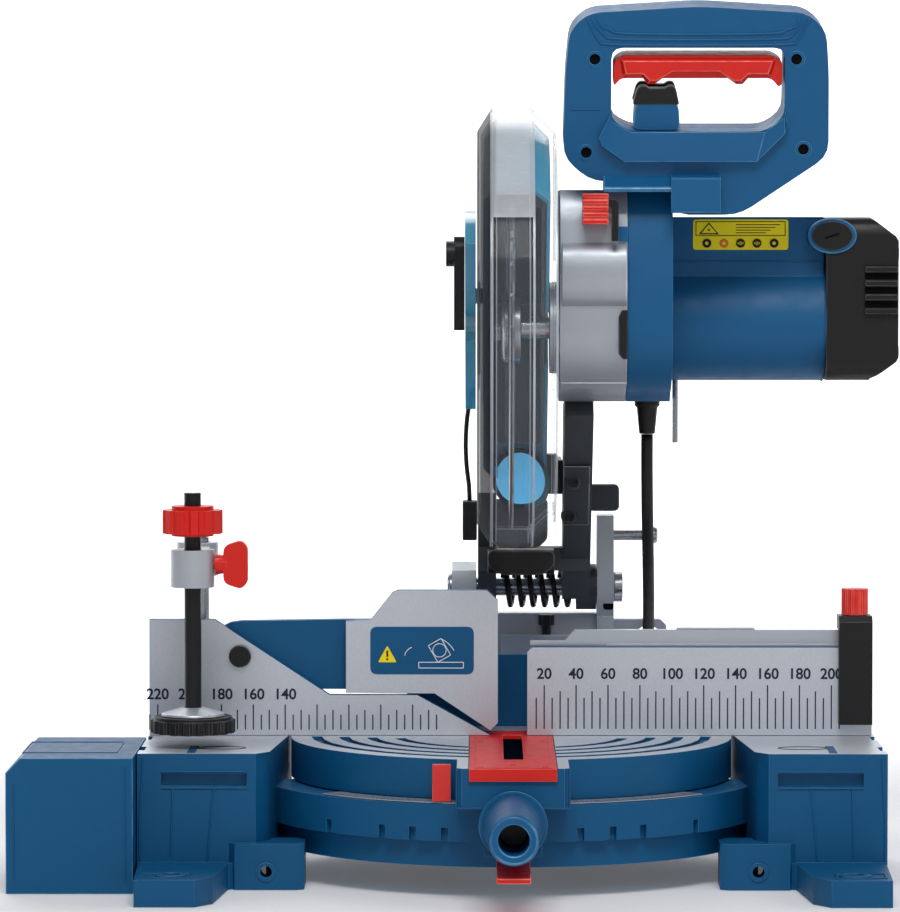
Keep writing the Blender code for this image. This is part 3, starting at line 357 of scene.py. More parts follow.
def soft_edges(piece, width, angle=38, segments=2):
    """Breaks the edges of a piece and shades it smooth."""
    for face in piece.data.polygons:
        face.use_smooth = True
    if width:
        bevel = piece.modifiers.new("broken_edges", "BEVEL")
        bevel.width = width * MM
        bevel.segments = segments
        bevel.limit_method = "ANGLE"
        bevel.angle_limit = radians(angle)
        bevel.use_clamp_overlap = True
        # The bevel faces take the last material, the lighter edge look: painted highlight with rubbed wear.
        bevel.material = len(piece.data.materials) - 1
    piece.modifiers.new("even_shading", "WEIGHTED_NORMAL").keep_sharp = True


def add_piece(name, mesh, body, look, edge=0.4, angle=38, segments=2):
    """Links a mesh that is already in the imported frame, gives it a look and lets it ride."""
    piece = linked(name, bpy.data.meshes.new(name))
    mesh.normal_update()
    bmesh.ops.recalc_face_normals(mesh, faces=mesh.faces)
    mesh.to_mesh(piece.data)
    mesh.free()
    piece.data.materials.append(LOOKS[look])
    # Pieces with broken edges also get the lighter edge look: painted highlight and rubbed wear.
    if edge and look in EDGE_WEAR_AND_HIGHLIGHT:
        piece.data.materials.append(EDGE_WEAR_AND_HIGHLIGHT[look])
    soft_edges(piece, edge, angle, segments)
    if body:
        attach(piece, body)
    return piece


def point_on(axis, a, b, along):
    """A point from its two plane coordinates and its coordinate along the axis X, Y or Z."""
    return {"X": (along, a, b), "Y": (a, along, b), "Z": (a, b, along)}[axis]


def stitch(mesh, rings, caps=True):
    """Faces between neighbouring rings of vertices, and over the first and last ring."""
    for ring, after in zip(rings, rings[1:]):
        sides = max(len(ring), len(after))
        for k in range(sides if sides > 1 else 0):
            j = (k + 1) % sides
            if len(ring) == 1:
                mesh.faces.new((ring[0], after[k], after[j]))
            elif len(after) == 1:
                mesh.faces.new((ring[k], ring[j], after[0]))
            else:
                mesh.faces.new((ring[k], ring[j], after[j], after[k]))
    if caps:
        mesh.faces.new(rings[0])
        mesh.faces.new(rings[-1])


def add_prism(mesh, axis, outline, low, high, turn=None):
    """Extrudes an outline between two coordinates of the axis, into a mesh that may hold others."""
    rings = []
    for along in (low, high):
        points = [place(*point_on(axis, a, b, along)) for a, b in outline]
        rings.append([mesh.verts.new(turn @ p if turn else p) for p in points])
    stitch(mesh, rings)


def add_lathe(mesh, axis, at, profile, sides=32, turn=None):
    """Turns a profile of (radius, along) about the axis through at; radius 0 closes it to a point."""
    rings = []
    for r, along in profile:
        points = [place(*point_on(axis, a, b, along)) for a, b in circle(at, r, sides if r else 1)]
        rings.append([mesh.verts.new(turn @ p if turn else p) for p in points])
    if profile[0] == profile[-1]:
        for vert in rings[-1]:
            mesh.verts.remove(vert)
        rings[-1] = rings[0]
    stitch(mesh, rings, caps=False)


def add_tube(mesh, points, radius, sides=16):
    """A round tube through points in metres, with a frame carried along so that it doesn't twist."""
    rings = []
    side = None
    for i, p in enumerate(points):
        before, after = points[max(0, i - 1)], points[min(len(points) - 1, i + 1)]
        ahead = (after - before).normalized()
        if side is None:
            side = ahead.orthogonal().normalized()
        side = (side - ahead * side.dot(ahead)).normalized()
        up = ahead.cross(side)
        turns = [2 * pi * k / sides for k in range(sides)]
        rings.append([mesh.verts.new(p + (side * cos(a) + up * sin(a)) * radius) for a in turns])
    stitch(mesh, rings)


def add_tube_piece(name, points, radius, sides, body, look, edge=0, angle=38):
    """One tube as its own piece."""
    mesh = bmesh.new()
    add_tube(mesh, points, radius, sides)
    return add_piece(name, mesh, body, look, edge, angle)


def circle(at, r, count):
    turns = [2 * pi * k / count for k in range(count)]
    return [(at[0] + r * cos(a), at[1] + r * sin(a)) for a in turns]


def rounded(points, radius, steps=5):
    """The outline with each corner replaced by an arc that starts radius away from it."""
    made = []
    count = len(points)
    for i in range(count):
        before, corner, after = (Vector(points[(i + k) % count]) for k in (-1, 0, 1))
        into, out = before - corner, after - corner
        reach = min(radius, into.length * 0.45, out.length * 0.45)
        start, end = corner + into.normalized() * reach, corner + out.normalized() * reach
        for k in range(steps + 1):
            t = k / steps
            made.append(tuple((1 - t) ** 2 * start + 2 * t * (1 - t) * corner + t ** 2 * end))
    return made


def rect(x0, z0, x1, z1):
    return [(x0, z0), (x1, z0), (x1, z1), (x0, z1)]


def smooth_route(points, step):
    """Evenly spaced points on a Catmull-Rom curve through the route."""
    places = [Vector(p) for p in points]
    padded = [places[0] * 2 - places[1], *places, places[-1] * 2 - places[-2]]
    route = []
    for a, b, c, d in zip(padded, padded[1:], padded[2:], padded[3:]):
        count = max(1, round((c - b).length / step))
        for k in range(count):
            t = k / count
            route.append(0.5 * (2 * b + (c - a) * t + (2 * a - 5 * b + 4 * c - d) * t ** 2
                                + (3 * b - a - 3 * c + d) * t ** 3))
    return [*route, places[-1]]


# ---------------------------------------------------------------- camera

def add_camera():
    camera = linked("camera", bpy.data.cameras.new("camera"))
    camera.data.lens = CAMERA_LENS
    camera.data.sensor_width = 36.0
    camera.location = CAMERA_AT
    camera.rotation_euler = Vector(CAMERA_LOOK).to_track_quat("-Z", "Y").to_euler()
    camera.data.clip_start = 0.1
    camera.data.clip_end = 50.0
    bpy.context.scene.camera = camera


# ---------------------------------------------------------------- mains cord

def eased(share):
    return share * share * (3 - 2 * share)


def coil_route():
    """From the tail into the coil, through its cells one turn after another, and out to the plug.
    Each turn crosses to the next cell at a window, and the windows step back round the coil."""
    route = []
    total = COIL_TURNS * 360
    for angle in range(12, total + 1, 6):
        turn, part = divmod(angle, 360)
        r, z = COIL_CELLS[turn]
        if turn < COIL_TURNS:
            share = (part - (240 - COIL_CROSSING * turn)) / COIL_CROSSING
            ease = eased(min(1.0, max(0.0, share)))
            r_next, z_next = COIL_CELLS[turn + 1]
            r, z = r + (r_next - r) * ease, z + (z_next - z) * ease
        if angle > total - 60:
            ease = eased((angle - total + 60) / 60)
            r, z = r + (PLUG_X - COIL_AT[0] - r) * ease, z + (PLUG_Z - z) * ease
        a = radians(angle)
        route.append(Vector((COIL_AT[0] + r * cos(a), COIL_AT[1] + r * sin(a), z)))
    return route


def mains_cord():
    drop = [place(*p) for p in smooth_route(CORD_DROP, 5)]
    piece = add_tube_piece("mains_cord_drop", drop, CORD_D / 2 * MM, 20, None, "cord_rubber")
    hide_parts("cord_drop")
    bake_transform(piece)

    lead = [Vector((PLUG_X, 264 + 6 * k, PLUG_Z)) for k in range(1, 7)]
    tail = smooth_route([*CORD_TAIL, (44.8, 259.5, 4.1)], 5)
    rest = [*tail[:-1], *coil_route(), *lead]
    whole = [place(*p) for p in rest]
    piece = add_tube_piece("mains_cord_rest", whole, CORD_D / 2 * MM, 20, None, "cord_rubber")
    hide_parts("cord_tail", "cord_coil")
    plug = plug_pieces()
    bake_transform(piece)


def plug_pieces():
    """A two-pin plug with a ribbed sleeve, and the tie round the coil."""
    side = rounded([(308, 2.5), (318, 0.6), (343, 0.6), (343, 25.4), (324, 25.4), (308, 20)], 5)
    body = plate("plug_body", "X", side, 29, 64, "turntable", "black_plastic", 2.4, angle=40, segments=3)
    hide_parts("plug")
    profile = [(0, 300.5)]
    for k in range(3):
        y = 300.5 + 3 * k
        profile += [(5.2, y), (5.2, y + 1.6), (4.4, y + 1.9), (4.4, y + 2.7)]
    profile += [(5.6, 310), (0, 310)]
    sleeve = turned_parts("plug_sleeve", "Y", [(PLUG_X, PLUG_Z)], profile, "turntable", "cord_rubber", 0.3,
                          24)
    pin = [(0, 340), (2.4, 340), (2.4, 360), (1.6, 362), (0, 362)]
    pins = turned_parts("plug_pins", "Y", [(37, PLUG_Z), (56, PLUG_Z)], pin, "turntable", "steel", 0.2, 20)
    loop = rounded(rect(29.0, 1.5, 55.0, 25.4), 6, 6)
    around = [place(COIL_AT[0] - r * cos(radians(20)), COIL_AT[1] + r * sin(radians(20)), z) for r, z in loop]
    tie = add_tube_piece("coil_tie", [*around, around[0]], 0.0011, 8, "turntable", "black_plastic")
    return [body, sleeve, pins, tie]


# ---------------------------------------------------------------- skins

def skin(node, look, edge):
    """A copy of a node with flat faces merged and edges broken, standing for the node. The motor's end cap is
    cut off flat at END_CAP_X."""
    source = frame["nodes"][node]
    mesh = bmesh.new()
    mesh.from_mesh(source.data)
    if node == "motor_end_cap":
        for vert in mesh.verts:
            vert.co.x = min(vert.co.x, place(END_CAP_X, 0, 0).x)
    bmesh.ops.remove_doubles(mesh, verts=mesh.verts, dist=2e-6)
    bmesh.ops.dissolve_limit(mesh, angle_limit=radians(0.4), verts=mesh.verts, edges=mesh.edges)
    piece = add_piece(node + "_skin", mesh, source["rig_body"], look, edge)
    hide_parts(node)


SLOT_OF = {row["node"]: row["material_slot"] for row in frame["record"]["subparts"]}
# Widths of broken edges, where they aren't 0.6 mm; looks that differ from the slot's; nodes with no skin
EDGES = {
    "base_casting": 1.0, "mitre_scale": 0.1, "side_extension": 1.6, "clamp_arm": 1.2, "clamp_rod": 0.3,
    "kerf_insert": 0.3, "bevel_scale": 0.3, "mitre_lock_knob": 0.9, "bevel_arm": 1.0, "head_arm": 1.0,
    "gear_housing": 1.2, "motor_housing": 1.2, "motor_end_cap": 1.4, "handle_front_shell": 0.0,
    "handle_rear_shell": 0.0, "lower_guard": 0.5, "blade": 0.0, "drive_gear": 0.15, "motor_shaft": 0.1,
    "trigger": 0.0, "return_spring": 0.0, "mitre_pointer": 0.4, "turntable": 0.7,
}
SPECIAL = {"side_extension": "blue_paint", "gear_housing": "gear_casting", "return_spring": "black_steel",
           "clamp_rod": "black_steel", "flip_fence_bolt": "black_steel", "mitre_lock_rod": "black_steel"}
REPLACED_ELSEWHERE = {"cord_drop", "cord_tail", "cord_coil", "plug"}


def skins():
    for node, slot in SLOT_OF.items():
        if node not in REPLACED_ELSEWHERE:
            skin(node, SPECIAL.get(node, slot), EDGES.get(node, 0.6))


# ---------------------------------------------------------------- small builders

def plates(name, axis, outlines, low, high, body, look, edge=0.0, turn=None, angle=38, segments=2):
    """Several outlines extruded between two coordinates of the axis, as one piece."""
    mesh = bmesh.new()
    for outline in outlines:
        add_prism(mesh, axis, outline, low, high, turn)
    return add_piece(name, mesh, body, look, edge, angle, segments)


def plate(name, axis, outline, low, high, body, look, edge=0.3, turn=None, angle=38, segments=2):
    """One extruded outline as its own piece."""
    return plates(name, axis, [outline], low, high, body, look, edge, turn, angle, segments)


def turned_parts(name, axis, places, profile, body, look, edge=0.25, sides=28, turn=None):
    """The same turned shape at several places, as one piece."""
    mesh = bmesh.new()
    for at in places:
        add_lathe(mesh, axis, at, profile, sides, turn)
    return add_piece(name, mesh, body, look, edge)


def beads(name, lines, radius, body, look, turn=None, sides=8):
    """Raised moulding lines: a thin round bead along each line of points."""
    mesh = bmesh.new()
    for line in lines:
        points = [place(*p) for p in line]
        if turn:
            points = [turn @ p for p in points]
        add_tube(mesh, points, radius * MM, sides)
    return add_piece(name, mesh, body, look, 0)


def add_band(mesh, at, inner, outer, low, high, start, end, steps=48):
    """A curved bar about the X axis through at, between two radii, two X and two angles."""
    sections = []
    for k in range(steps + 1):
        a = radians(start + (end - start) * k / steps)
        sections.append([mesh.verts.new(place(x, at[0] + r * cos(a), at[1] + r * sin(a)))
                         for r, x in ((inner, low), (outer, low), (outer, high), (inner, high))])
    stitch(mesh, sections)


def lettering(name, texts, size, y, body, look):
    """Numbers standing on the fence face: texts of (text, X, Z), with their front at y."""
    mesh = bmesh.new()
    for text, x, z in texts:
        curve = bpy.data.curves.new(name + text, "FONT")
        curve.body = text
        curve.align_x = "CENTER"
        curve.align_y = "CENTER"
        curve.size = size * MM
        curve.extrude = 0.00008
        curve.offset = 0.0002
        holder = linked(name + text, curve)
        flat = holder.to_mesh()
        turn = Matrix.Translation(place(x, y, z)) @ Matrix.Rotation(radians(90), 4, "X")
        flat.transform(turn)
        mesh.from_mesh(flat)
        holder.to_mesh_clear()
        bpy.data.objects.remove(holder)
        bpy.data.curves.remove(curve)
    return add_piece(name, mesh, body, look, 0)


# ---------------------------------------------------------------- fence and base details

RULER_RIGHT = 0.7
RULER_LEFT = -1.8
RULER_FOOT = 86.4


def rulers():
    """Millimetre rulers on both fence faces: a tick every 5 mm, longer every 10 and 20, with numbers."""
    right = []
    for value in range(15, 206, 5):
        top = 113.9 if value % 20 == 0 else 110.1 if value % 10 == 0 else 105.8
        right.append(rect(value + RULER_RIGHT - 0.4, RULER_FOOT, value + RULER_RIGHT + 0.4, top))
    left = []
    for value in range(45, 226, 5):
        top = 101.6 if value % 20 == 0 else 98.2 if value % 10 == 0 else 95.2
        left.append(rect(-value + RULER_LEFT - 0.4, RULER_FOOT - 0.6, -value + RULER_LEFT + 0.4, top))
    plates("ruler_ticks", "Y", right + left, -0.12, 0.2, "base", "ink")
    numbers = [(str(v), v + RULER_RIGHT, 120.8) for v in range(20, 201, 20)]
    numbers += [(str(v), -v + RULER_LEFT, 107.8) for v in (140, 160, 180, 200, 220)]
    lettering("ruler_numbers", numbers, 9.4, -0.06, "base", "ink")


def mitre_ticks():
    """Degree marks on the scale of the front rail."""
    mesh = bmesh.new()
    for angle in range(-47, 48):
        reach = 5.5 if angle % 5 else 9.0
        if angle % 15 == 0:
            reach = 11.0
        a = radians(angle - 90)
        inner, outer = MITRE_SCALE_R - reach, MITRE_SCALE_R
        across = Vector((-sin(a), cos(a))) * 0.22
        ends = [Vector((inner * cos(a), inner * sin(a))), Vector((outer * cos(a), outer * sin(a)))]
        outline = [ends[0] - across, ends[1] - across, ends[1] + across, ends[0] + across]
        add_prism(mesh, "Z", [tuple(p) for p in outline], 57.7, 57.98)
    add_piece("mitre_scale_marks", mesh, "base", "ink", 0)


def base_details():
    mould = [[(181, 61), (183, 40), (185, 17)], [(224, 79), (226, 40), (226, 17)], [(206, 61), (207, 20)],
             [(161, 71), (213, 71)], [(161, 61), (213, 61)]]
    tray = [(192, -158), (192, -176), (221, -176), (221, -158), (192, -158)]
    for side, word in ((-1, "left"), (1, "right")):
        lines = [[(side * x, BLOCK_FRONT_Y, z) for x, z in line] for line in mould]
        beads(f"base_mould_lines_{word}", lines, 0.7, "base", "blue_paint")
        beads(f"foot_tray_{word}", [[(side * x, y, 16) for x, y in tray]], 0.9, "base", "blue_paint")
        ring = [(5.4, 16.0), (9.4, 16.0), (9.4, 16.9), (8.2, 17.3), (6.0, 17.3), (5.6, 16.9), (5.4, 16.0)]
        turned_parts(f"bench_hole_rim_{word}", "Z", [(side * 203, -166)], ring, "base", "blue_paint", 0.1)
        turned_parts(f"leg_hole_rim_{word}", "Y", [(side * 149, 11)],
                     [(3.7, -110.8), (5.8, -110.8), (5.8, -112.1), (3.7, -112.1), (3.7, -110.8)],
                     "base", "blue_paint", 0.2)
        oval = [(side * 178 + 15 * cos(a * pi / 18), -72 + 8 * sin(a * pi / 18), TABLE_Z + 0.05)
                for a in range(37)]
        beads(f"top_plate_oval_{word}", [oval], 0.35, "base", "ink")
        slots = [rect(side * 195 - 2.5, -100, side * 195 + 2.5, -60)]
        plates(f"top_plate_slot_{word}", "Z", slots, TABLE_Z, TABLE_Z + 0.12, "base", "blue_paint")
    head = [(0, 93.0), (1.8, 93.0), (2.2, 94.5), (4.6, 94.5), (5.2, 93.9), (5.2, 91.1), (0, 91.1)]
    places = [(-215, 36), (-150, 36), (150, 36), (212, 36)]
    turned_parts("fence_bolts", "Z", places, head, "base", "steel", 0.2)
    plate("fence_rail_raised_part", "Y", rounded(rect(104, 148.2, 153, 149.4), 0.6), 9.0, 13.6, "base",
          "rail_metal", 0.3)


def extension_details():
    """Moulded lines on the top and front of the side extension."""
    corners = [(-297, -40), (-240, -40), (-240, -100), (-297, -100)]
    lines = [[(*corner, TABLE_Z), (*after, TABLE_Z)]
             for corner, after in zip(corners, corners[1:] + corners[:1])]
    beads("extension_top_lines", lines, 0.5, "extension", "blue_paint")
    front = [[(-300, -129.0, 66), (-300, -129.0, 8)], [(-233, -129.0, 76), (-233, -129.0, 8)]]
    beads("extension_front_lines", front, 0.6, "extension", "blue_paint")


def flip_fence_details():
    """A blue label with a warning triangle and a plain picture of a tilting head."""
    label = rounded(rect(-88.4, 120.6, -23.4, 150.6), 4.5)
    plate("flip_fence_label", "Y", label, -0.25, 0.3, "flip_fence", "blue_paint", 0.1)
    y = (-0.42, -0.2)
    plate("flip_label_triangle", "Y", rounded([(-83.6, 128.2), (-71.8, 128.2), (-77.7, 138.8)], 1.2), *y,
          "flip_fence", "yellow", 0)
    plates("flip_label_mark", "Y", [rect(-78.3, 131.6, -77.1, 135.6), rect(-78.3, 129.5, -77.1, 130.7)],
           -0.52, -0.4, "flip_fence", "black_ink")
    y0 = -0.34
    arc_up = [(-50 + 16 * cos(radians(a)), y0, 128 + 16 * sin(radians(a))) for a in range(28, 72, 4)]
    arc_down = [(-60 + 7 * cos(radians(a)), y0, 131 + 7 * sin(radians(a))) for a in range(110, 176, 6)]
    lines = [[(-58, y0, 124.6), (-30, y0, 124.6)], [(-58, y0, 124.6), (-58, y0, 128.2)],
             [(-30, y0, 124.6), (-30, y0, 128.2)], [(-58, y0, 128.2), (-30, y0, 128.2)],
             [(-46, y0, 128.2), (-52, y0, 138.6)], [(-52, y0, 138.6), (-44, y0, 143.2)],
             [(-44, y0, 143.2), (-38, y0, 132.8)], [(-38, y0, 132.8), (-46, y0, 128.2)], arc_up, arc_down]
    disc = [(-45 + 4.2 * cos(a * pi / 10), y0, 135.7 + 4.2 * sin(a * pi / 10)) for a in range(21)]
    beads("flip_label_picture", [*lines, disc], 0.28, "flip_fence", "white_ink")


def clamp_details():
    """The cone above the pad and a thin cap on the tip of the rod."""
    turned_parts("clamp_cone", "Z", [(-196, -60)],
                 [(5.6, 106), (7.2, 106), (12, 104.4), (19, 102.4), (19.6, 100.9), (5.6, 100.9), (5.6, 106)],
                 "clamp_pad", "silver_casting", 0.3, 36)
    turned_parts("clamp_rod_tip", "Z", [(-196, -60)], [(0, 238.2), (4.2, 238.2), (4.8, 238.0), (0, 238.0)],
                 "clamp_screw", "steel", 0)


# ---------------------------------------------------------------- table details

def table_details():
    screws = [(-19, -172), (0, -160), (19, -172), (-19, -30), (19, -30)]
    turned_parts("insert_screws", "Z", screws, [(0, 81.0), (1.6, 81.0), (2.1, 81.5), (3.1, 81.7), (3.1, 80.5),
                 (1.9, 80.45), (0, 80.45)], "turntable", "shadow", 0.1, 20)
    frame_line = [(-22.5, -181.5), (22.5, -181.5), (22.5, 24), (-22.5, 24)]
    border = [(x, y, TABLE_Z) for x, y in [*frame_line, frame_line[0]]]
    beads("insert_border", [border], 0.3, "turntable", "red_plastic")
    arm = [[(-33.3, -183, 81.6), (-33.3, -183, 58.4)], [(33.3, -183, 81.6), (33.3, -183, 58.4)],
           [(-33, -183, 58.4), (-18, -183, 58.4)], [(18, -183, 58.4), (33, -183, 58.4)]]
    beads("arm_front_lines", arm, 0.65, "turntable", "blue_paint")
    collar = [(15.5, -184.5), (19.5, -186), (20.5, -189.2), (18.2, -189.5), (12.0, -189.2), (12.0, -184.5),
              (15.5, -184.5)]
    turned_parts("lock_knob_collar", "Y", [(0, 49)], collar, "mitre_lock_knob", "blue_plastic", 0.4, 36)


# ---------------------------------------------------------------- head details

LEAN = (Matrix.Translation(place(*HANDLE_FOOT)) @ Matrix.Rotation(radians(HANDLE_LEAN), 4, "X")
        @ Matrix.Translation(-place(*HANDLE_FOOT)))


def handle_details():
    y = HANDLE_FRONT
    grooves = []
    for low, side in ((517.2, 0.0), (520.6, 3.4), (524.0, 6.8)):
        left = [(45.6 + side, 533.5), (48.5 + side, 528), (53.5 + side, low + 2.4), (61 + side, low)]
        right = [(228.8 - x, z) for x, z in reversed(left)]
        path = [(x, y - 0.1, z) for x, z in [*left, (114.4, low - 0.6), *right]]
        grooves.append(smooth_route(path, 3))
    beads("grip_ribs", grooves, 0.75, "head", "blue_plastic", LEAN, 10)
    screws = [(51, 508), (175, 508), (46, 450), (180, 452)]
    turned_parts("handle_screws", "Y", screws, [(0, y + 1.6), (1.5, y + 1.6), (1.9, y + 1.0), (3.2, y + 1.0),
                 (3.2, y + 3.4), (0, y + 3.4)], "head", "shadow", 0.1, 20, LEAN)
    rims = [(3.5, y - 0.5), (5.2, y - 0.4), (5.6, y + 0.4), (3.5, y + 0.4), (3.5, y - 0.5)]
    turned_parts("handle_screw_rims", "Y", screws, rims, "head", "blue_plastic", 0.15, 24, LEAN)
    inner = [(60.8, 474), (61.2, 469.8), (74, 462.8), (156, 462.8), (168.2, 472), (168.4, 476)]
    outer = [(53.5, 460), (55.5, 455), (69.5, 445), (151, 445), (168, 462.5), (170, 468)]
    mesh = bmesh.new()
    sections = []
    for (xi, zi), (xo, zo) in zip(inner, outer):
        points = [(xi, y + 1.0, zi), (xi, y - 0.8, zi), (xo, y - 5.6, zo), (xo, y + 1.0, zo - 1.5)]
        sections.append([mesh.verts.new(LEAN @ place(*p)) for p in points])
    stitch(mesh, sections)
    add_piece("handle_lip", mesh, "head", "blue_plastic", 0.8, 20)
    ledge = [[(36.5, y - 0.1, 477), (54.5, y - 0.1, 477)]]
    beads("handle_side_line", ledge, 0.5, "head", "blue_plastic", LEAN)
    saddle = [(-17, 441), (-35, 425), (-35.5, 422.4), (-21.6, 422.4), (-21.6, 424.6), (-17, 424.6)]
    plate("handle_saddle", "X", saddle, 56.5, 127, "head", "blue_plastic", 0.9, angle=20)
    block = rounded([(-24, 434), (-37.5, 431.6), (-39, 409.4), (-24, 409.4)], 2)
    plate("handle_saddle_block", "X", block, 98.2, 128.6, "head", "blue_plastic", 0.9, angle=20)


def trigger_details():
    """The faceted front of the trigger and the cap over the lock-off button."""
    y = HANDLE_FRONT + 5
    wedge = [(66, 508.4), (163, 508.4), (160, 497), (147.5, 497.5), (142.5, 491.6), (138, 491.6),
             (128, 499.4), (98, 499.4), (88, 491.6), (83.5, 491.6), (79, 497.5), (68, 497)]
    middle, level, narrower, lower = 114.5, 502, 0.95, 0.72
    nose = [(middle + (x - middle) * narrower, level + (z - level) * lower) for x, z in wedge]
    mesh = bmesh.new()
    back = [mesh.verts.new(LEAN @ place(x, y + 0.3, z)) for x, z in wedge]
    front = [mesh.verts.new(LEAN @ place(x, y - 3.4, z)) for x, z in nose]
    stitch(mesh, [back, front])
    add_piece("trigger_facets", mesh, "trigger", "red_plastic", 0.5, 25)
    cap = rounded([(74.6, 479.2), (77, 488.4), (79, 491), (82.6, 491), (84.4, 489.4), (94.6, 489.4),
                   (96.4, 491), (99.8, 491), (101.4, 488.4), (103.4, 479.2)], 1.4)
    plate("lock_off_cap_front", "Y", cap, -22.4, -15.2, "head", "black_plastic", 0.5, LEAN)
    plate("lock_off_cap_rear", "Y", cap, -3.0, 1.8, "head", "black_plastic", 0.5, LEAN)


def gear_case_details():
    """The swell across the gear casting, its black clip, and the bracket and seat of the spindle lock."""
    swell = [(-19, 391.5), (-21.6, 391), (-25, 389), (-28, 385), (-29.8, 378), (-30, 370), (-28.6, 361.5),
             (-25.4, 355.2), (-21.6, 352), (-19, 351.6)]
    plate("gear_case_swell", "X", rounded(swell, 3, 3), 31.2, 71.4, "head", "gear_casting", 0.6, angle=50)
    clip = [(66.4, 345), (68.4, 349.5), (72, 349.5), (72, 318.8), (69, 318.8), (66.4, 322)]
    plate("gear_case_clip", "Y", clip, -24.4, -20.6, "head", "black_plastic", 0.6)
    bracket = rounded([(59.9, 418), (64.4, 418), (66, 416), (66, 392), (61.6, 392), (61.6, 413.4),
                       (59.9, 413.4)], 1)
    plate("spindle_lock_bracket", "Y", bracket, -34, -30.5, "spindle_lock", "black_plastic", 0.4)
    plate("spindle_lock_seat", "Y", rounded(rect(66.2, 391.8, 72.1, 401.2), 0.8), -23.2, -20.8, "head",
          "blue_plastic", 0.3)
    lines = [[(31, -20.9, 351.2), (71.6, -20.9, 351.2)], [(31, -20.9, 304), (71.6, -20.9, 304)]]
    beads("gear_case_lines", lines, 0.5, "head", "gear_casting")


def motor_details():
    """The picture label, brush cap, end-cap fins and screws, mould lines, and the hex key below."""
    face = MOTOR_FACE_Y
    plate("motor_label", "Y", rounded(rect(115, 386.4, 175.2, 405.6), 2.0), face - 0.25, face + 0.2, "head",
          "yellow", 0.08)
    y = (face - 0.36, face - 0.2)
    border = [rect(116.6, 404.0, 173.4, 404.5), rect(116.6, 395.2, 173.4, 395.7),
              rect(116.6, 395.2, 117.1, 404.5), rect(172.9, 395.2, 173.4, 404.5)]
    lines = [rect(142, 402.0 - 1.7 * k, 170 - 3 * k, 402.5 - 1.7 * k) for k in range(4)]
    marks = [[(118.6, 396.2), (131.4, 396.2), (125.0, 403.8)]]
    plates("motor_label_lines", "Y", border + lines + marks, *y, "head", "black_ink")
    plates("motor_label_triangle", "Y", [[(120.2, 397.0), (129.8, 397.0), (125.0, 402.6)]], face - 0.46,
           face - 0.3, "head", "yellow")
    spots = [(123.7, 390.6), (134.5, 390.6), (145.0, 390.6), (155.4, 390.6), (166.2, 390.6)]
    dots = [circle(at, 2.9, 20) for at in spots if at != spots[1]]
    plates("motor_label_circles", "Y", [*dots, circle((125.0, 399.0), 0.7, 12)], face - 0.52, face - 0.2,
           "head", "black_ink")
    plates("motor_label_circle_orange", "Y", [circle(spots[1], 2.9, 20)], *y, "head", "orange")
    inside = [circle(at, 1.1, 12) for at in spots]
    inside += [rect(x - 1.9, z - 0.4, x + 1.9, z + 0.4) for x, z in spots[2:4]]
    plates("motor_label_pictures", "Y", inside, face - 0.6, face - 0.3, "head", "yellow")

    def oval(a, b):
        return [(201.9 + a * cos(pi * k / 20), 395.2 + b * sin(pi * k / 20)) for k in range(40)]
    plate("brush_cap_seat", "Y", oval(15.4, 11.2), 22.2, 40, "head", "blue_plastic", 0.7)
    plate("brush_cap", "Y", oval(12.9, 9.3), 21.4, 24, "head", "black_plastic", 0.6)
    slot = rounded([(197.4, 393.2), (206.4, 396.0), (206.0, 397.2), (197.0, 394.4)], 0.5)
    plate("brush_cap_slot", "Y", slot, 21.3, 22, "head", "shadow", 0)
    fins = [rounded(rect(222.5, z, 243.2, z + 3.6), 1.2) for z in (372.4, 363.6, 354.8, 346.0)]
    plates("end_cap_fins", "Y", fins, 20.6, 26, "head", "black_plastic", 0.5)
    gaps = [rect(222.5, z + 4.2, 243.0, z + 8.0) for z in (363.8, 355.0, 346.2)]
    plates("end_cap_gaps", "Y", gaps, 23.85, 25, "head", "shadow")
    turned_parts("end_cap_screws", "X", [(32, 384), (92, 384), (32, 322), (92, 322)],
                 [(0, 243.2), (1.7, 243.2), (2.0, 244.6), (3.8, 244.6), (4.2, 244.0), (4.2, 241), (0, 241)],
                 "head", "steel", 0.15, 24)
    seam = [(198.0, MOTOR[0] + 38.0 * cos(radians(a)), MOTOR[1] + 38.0 * sin(radians(a)))
            for a in range(0, 361, 10)]
    beads("motor_seam", [seam], 0.5, "head", "blue_plastic")
    step = [[(96.5, face, 379.0), (197.2, face, 379.0)], [(96.5, face, 406.6), (197.2, face, 406.6)]]
    beads("motor_block_lines", step, 0.6, "head", "blue_plastic")
    key = [place(104.8, MOTOR[0], z) for z in (304, 290, 276, 263.4)]
    add_tube_piece("hex_key", key, 0.0019, 6, "head", "steel", 0.2, 30)


def add_curved_ring(mesh, at, inner, outer, near, far, sides=40):
    """A disc or ring, round about at (X, Z) from the front, bent to lie between two radii of the blade."""
    def layer(reach, radius):
        verts = []
        for k in range(sides if reach else 1):
            x = at[0] + reach * cos(2 * pi * k / sides)
            z = at[1] + reach * sin(2 * pi * k / sides)
            bent = radius - max(0.0, abs(x) - CHUTE_FLAT) * CHUTE_BEND
            y = BLADE[0] + max(0.0, bent ** 2 - (z - BLADE[1]) ** 2) ** 0.5
            verts.append(mesh.verts.new(place(x, y, z)))
        return verts
    steps = [inner + (outer - inner) * k / 4 for k in range(5)]
    front = [layer(reach, near) for reach in steps]
    back = [layer(reach, far) for reach in steps]
    loop = [*front, *reversed(back)]
    if inner:
        loop.append(front[0])
    stitch(mesh, loop, caps=False)


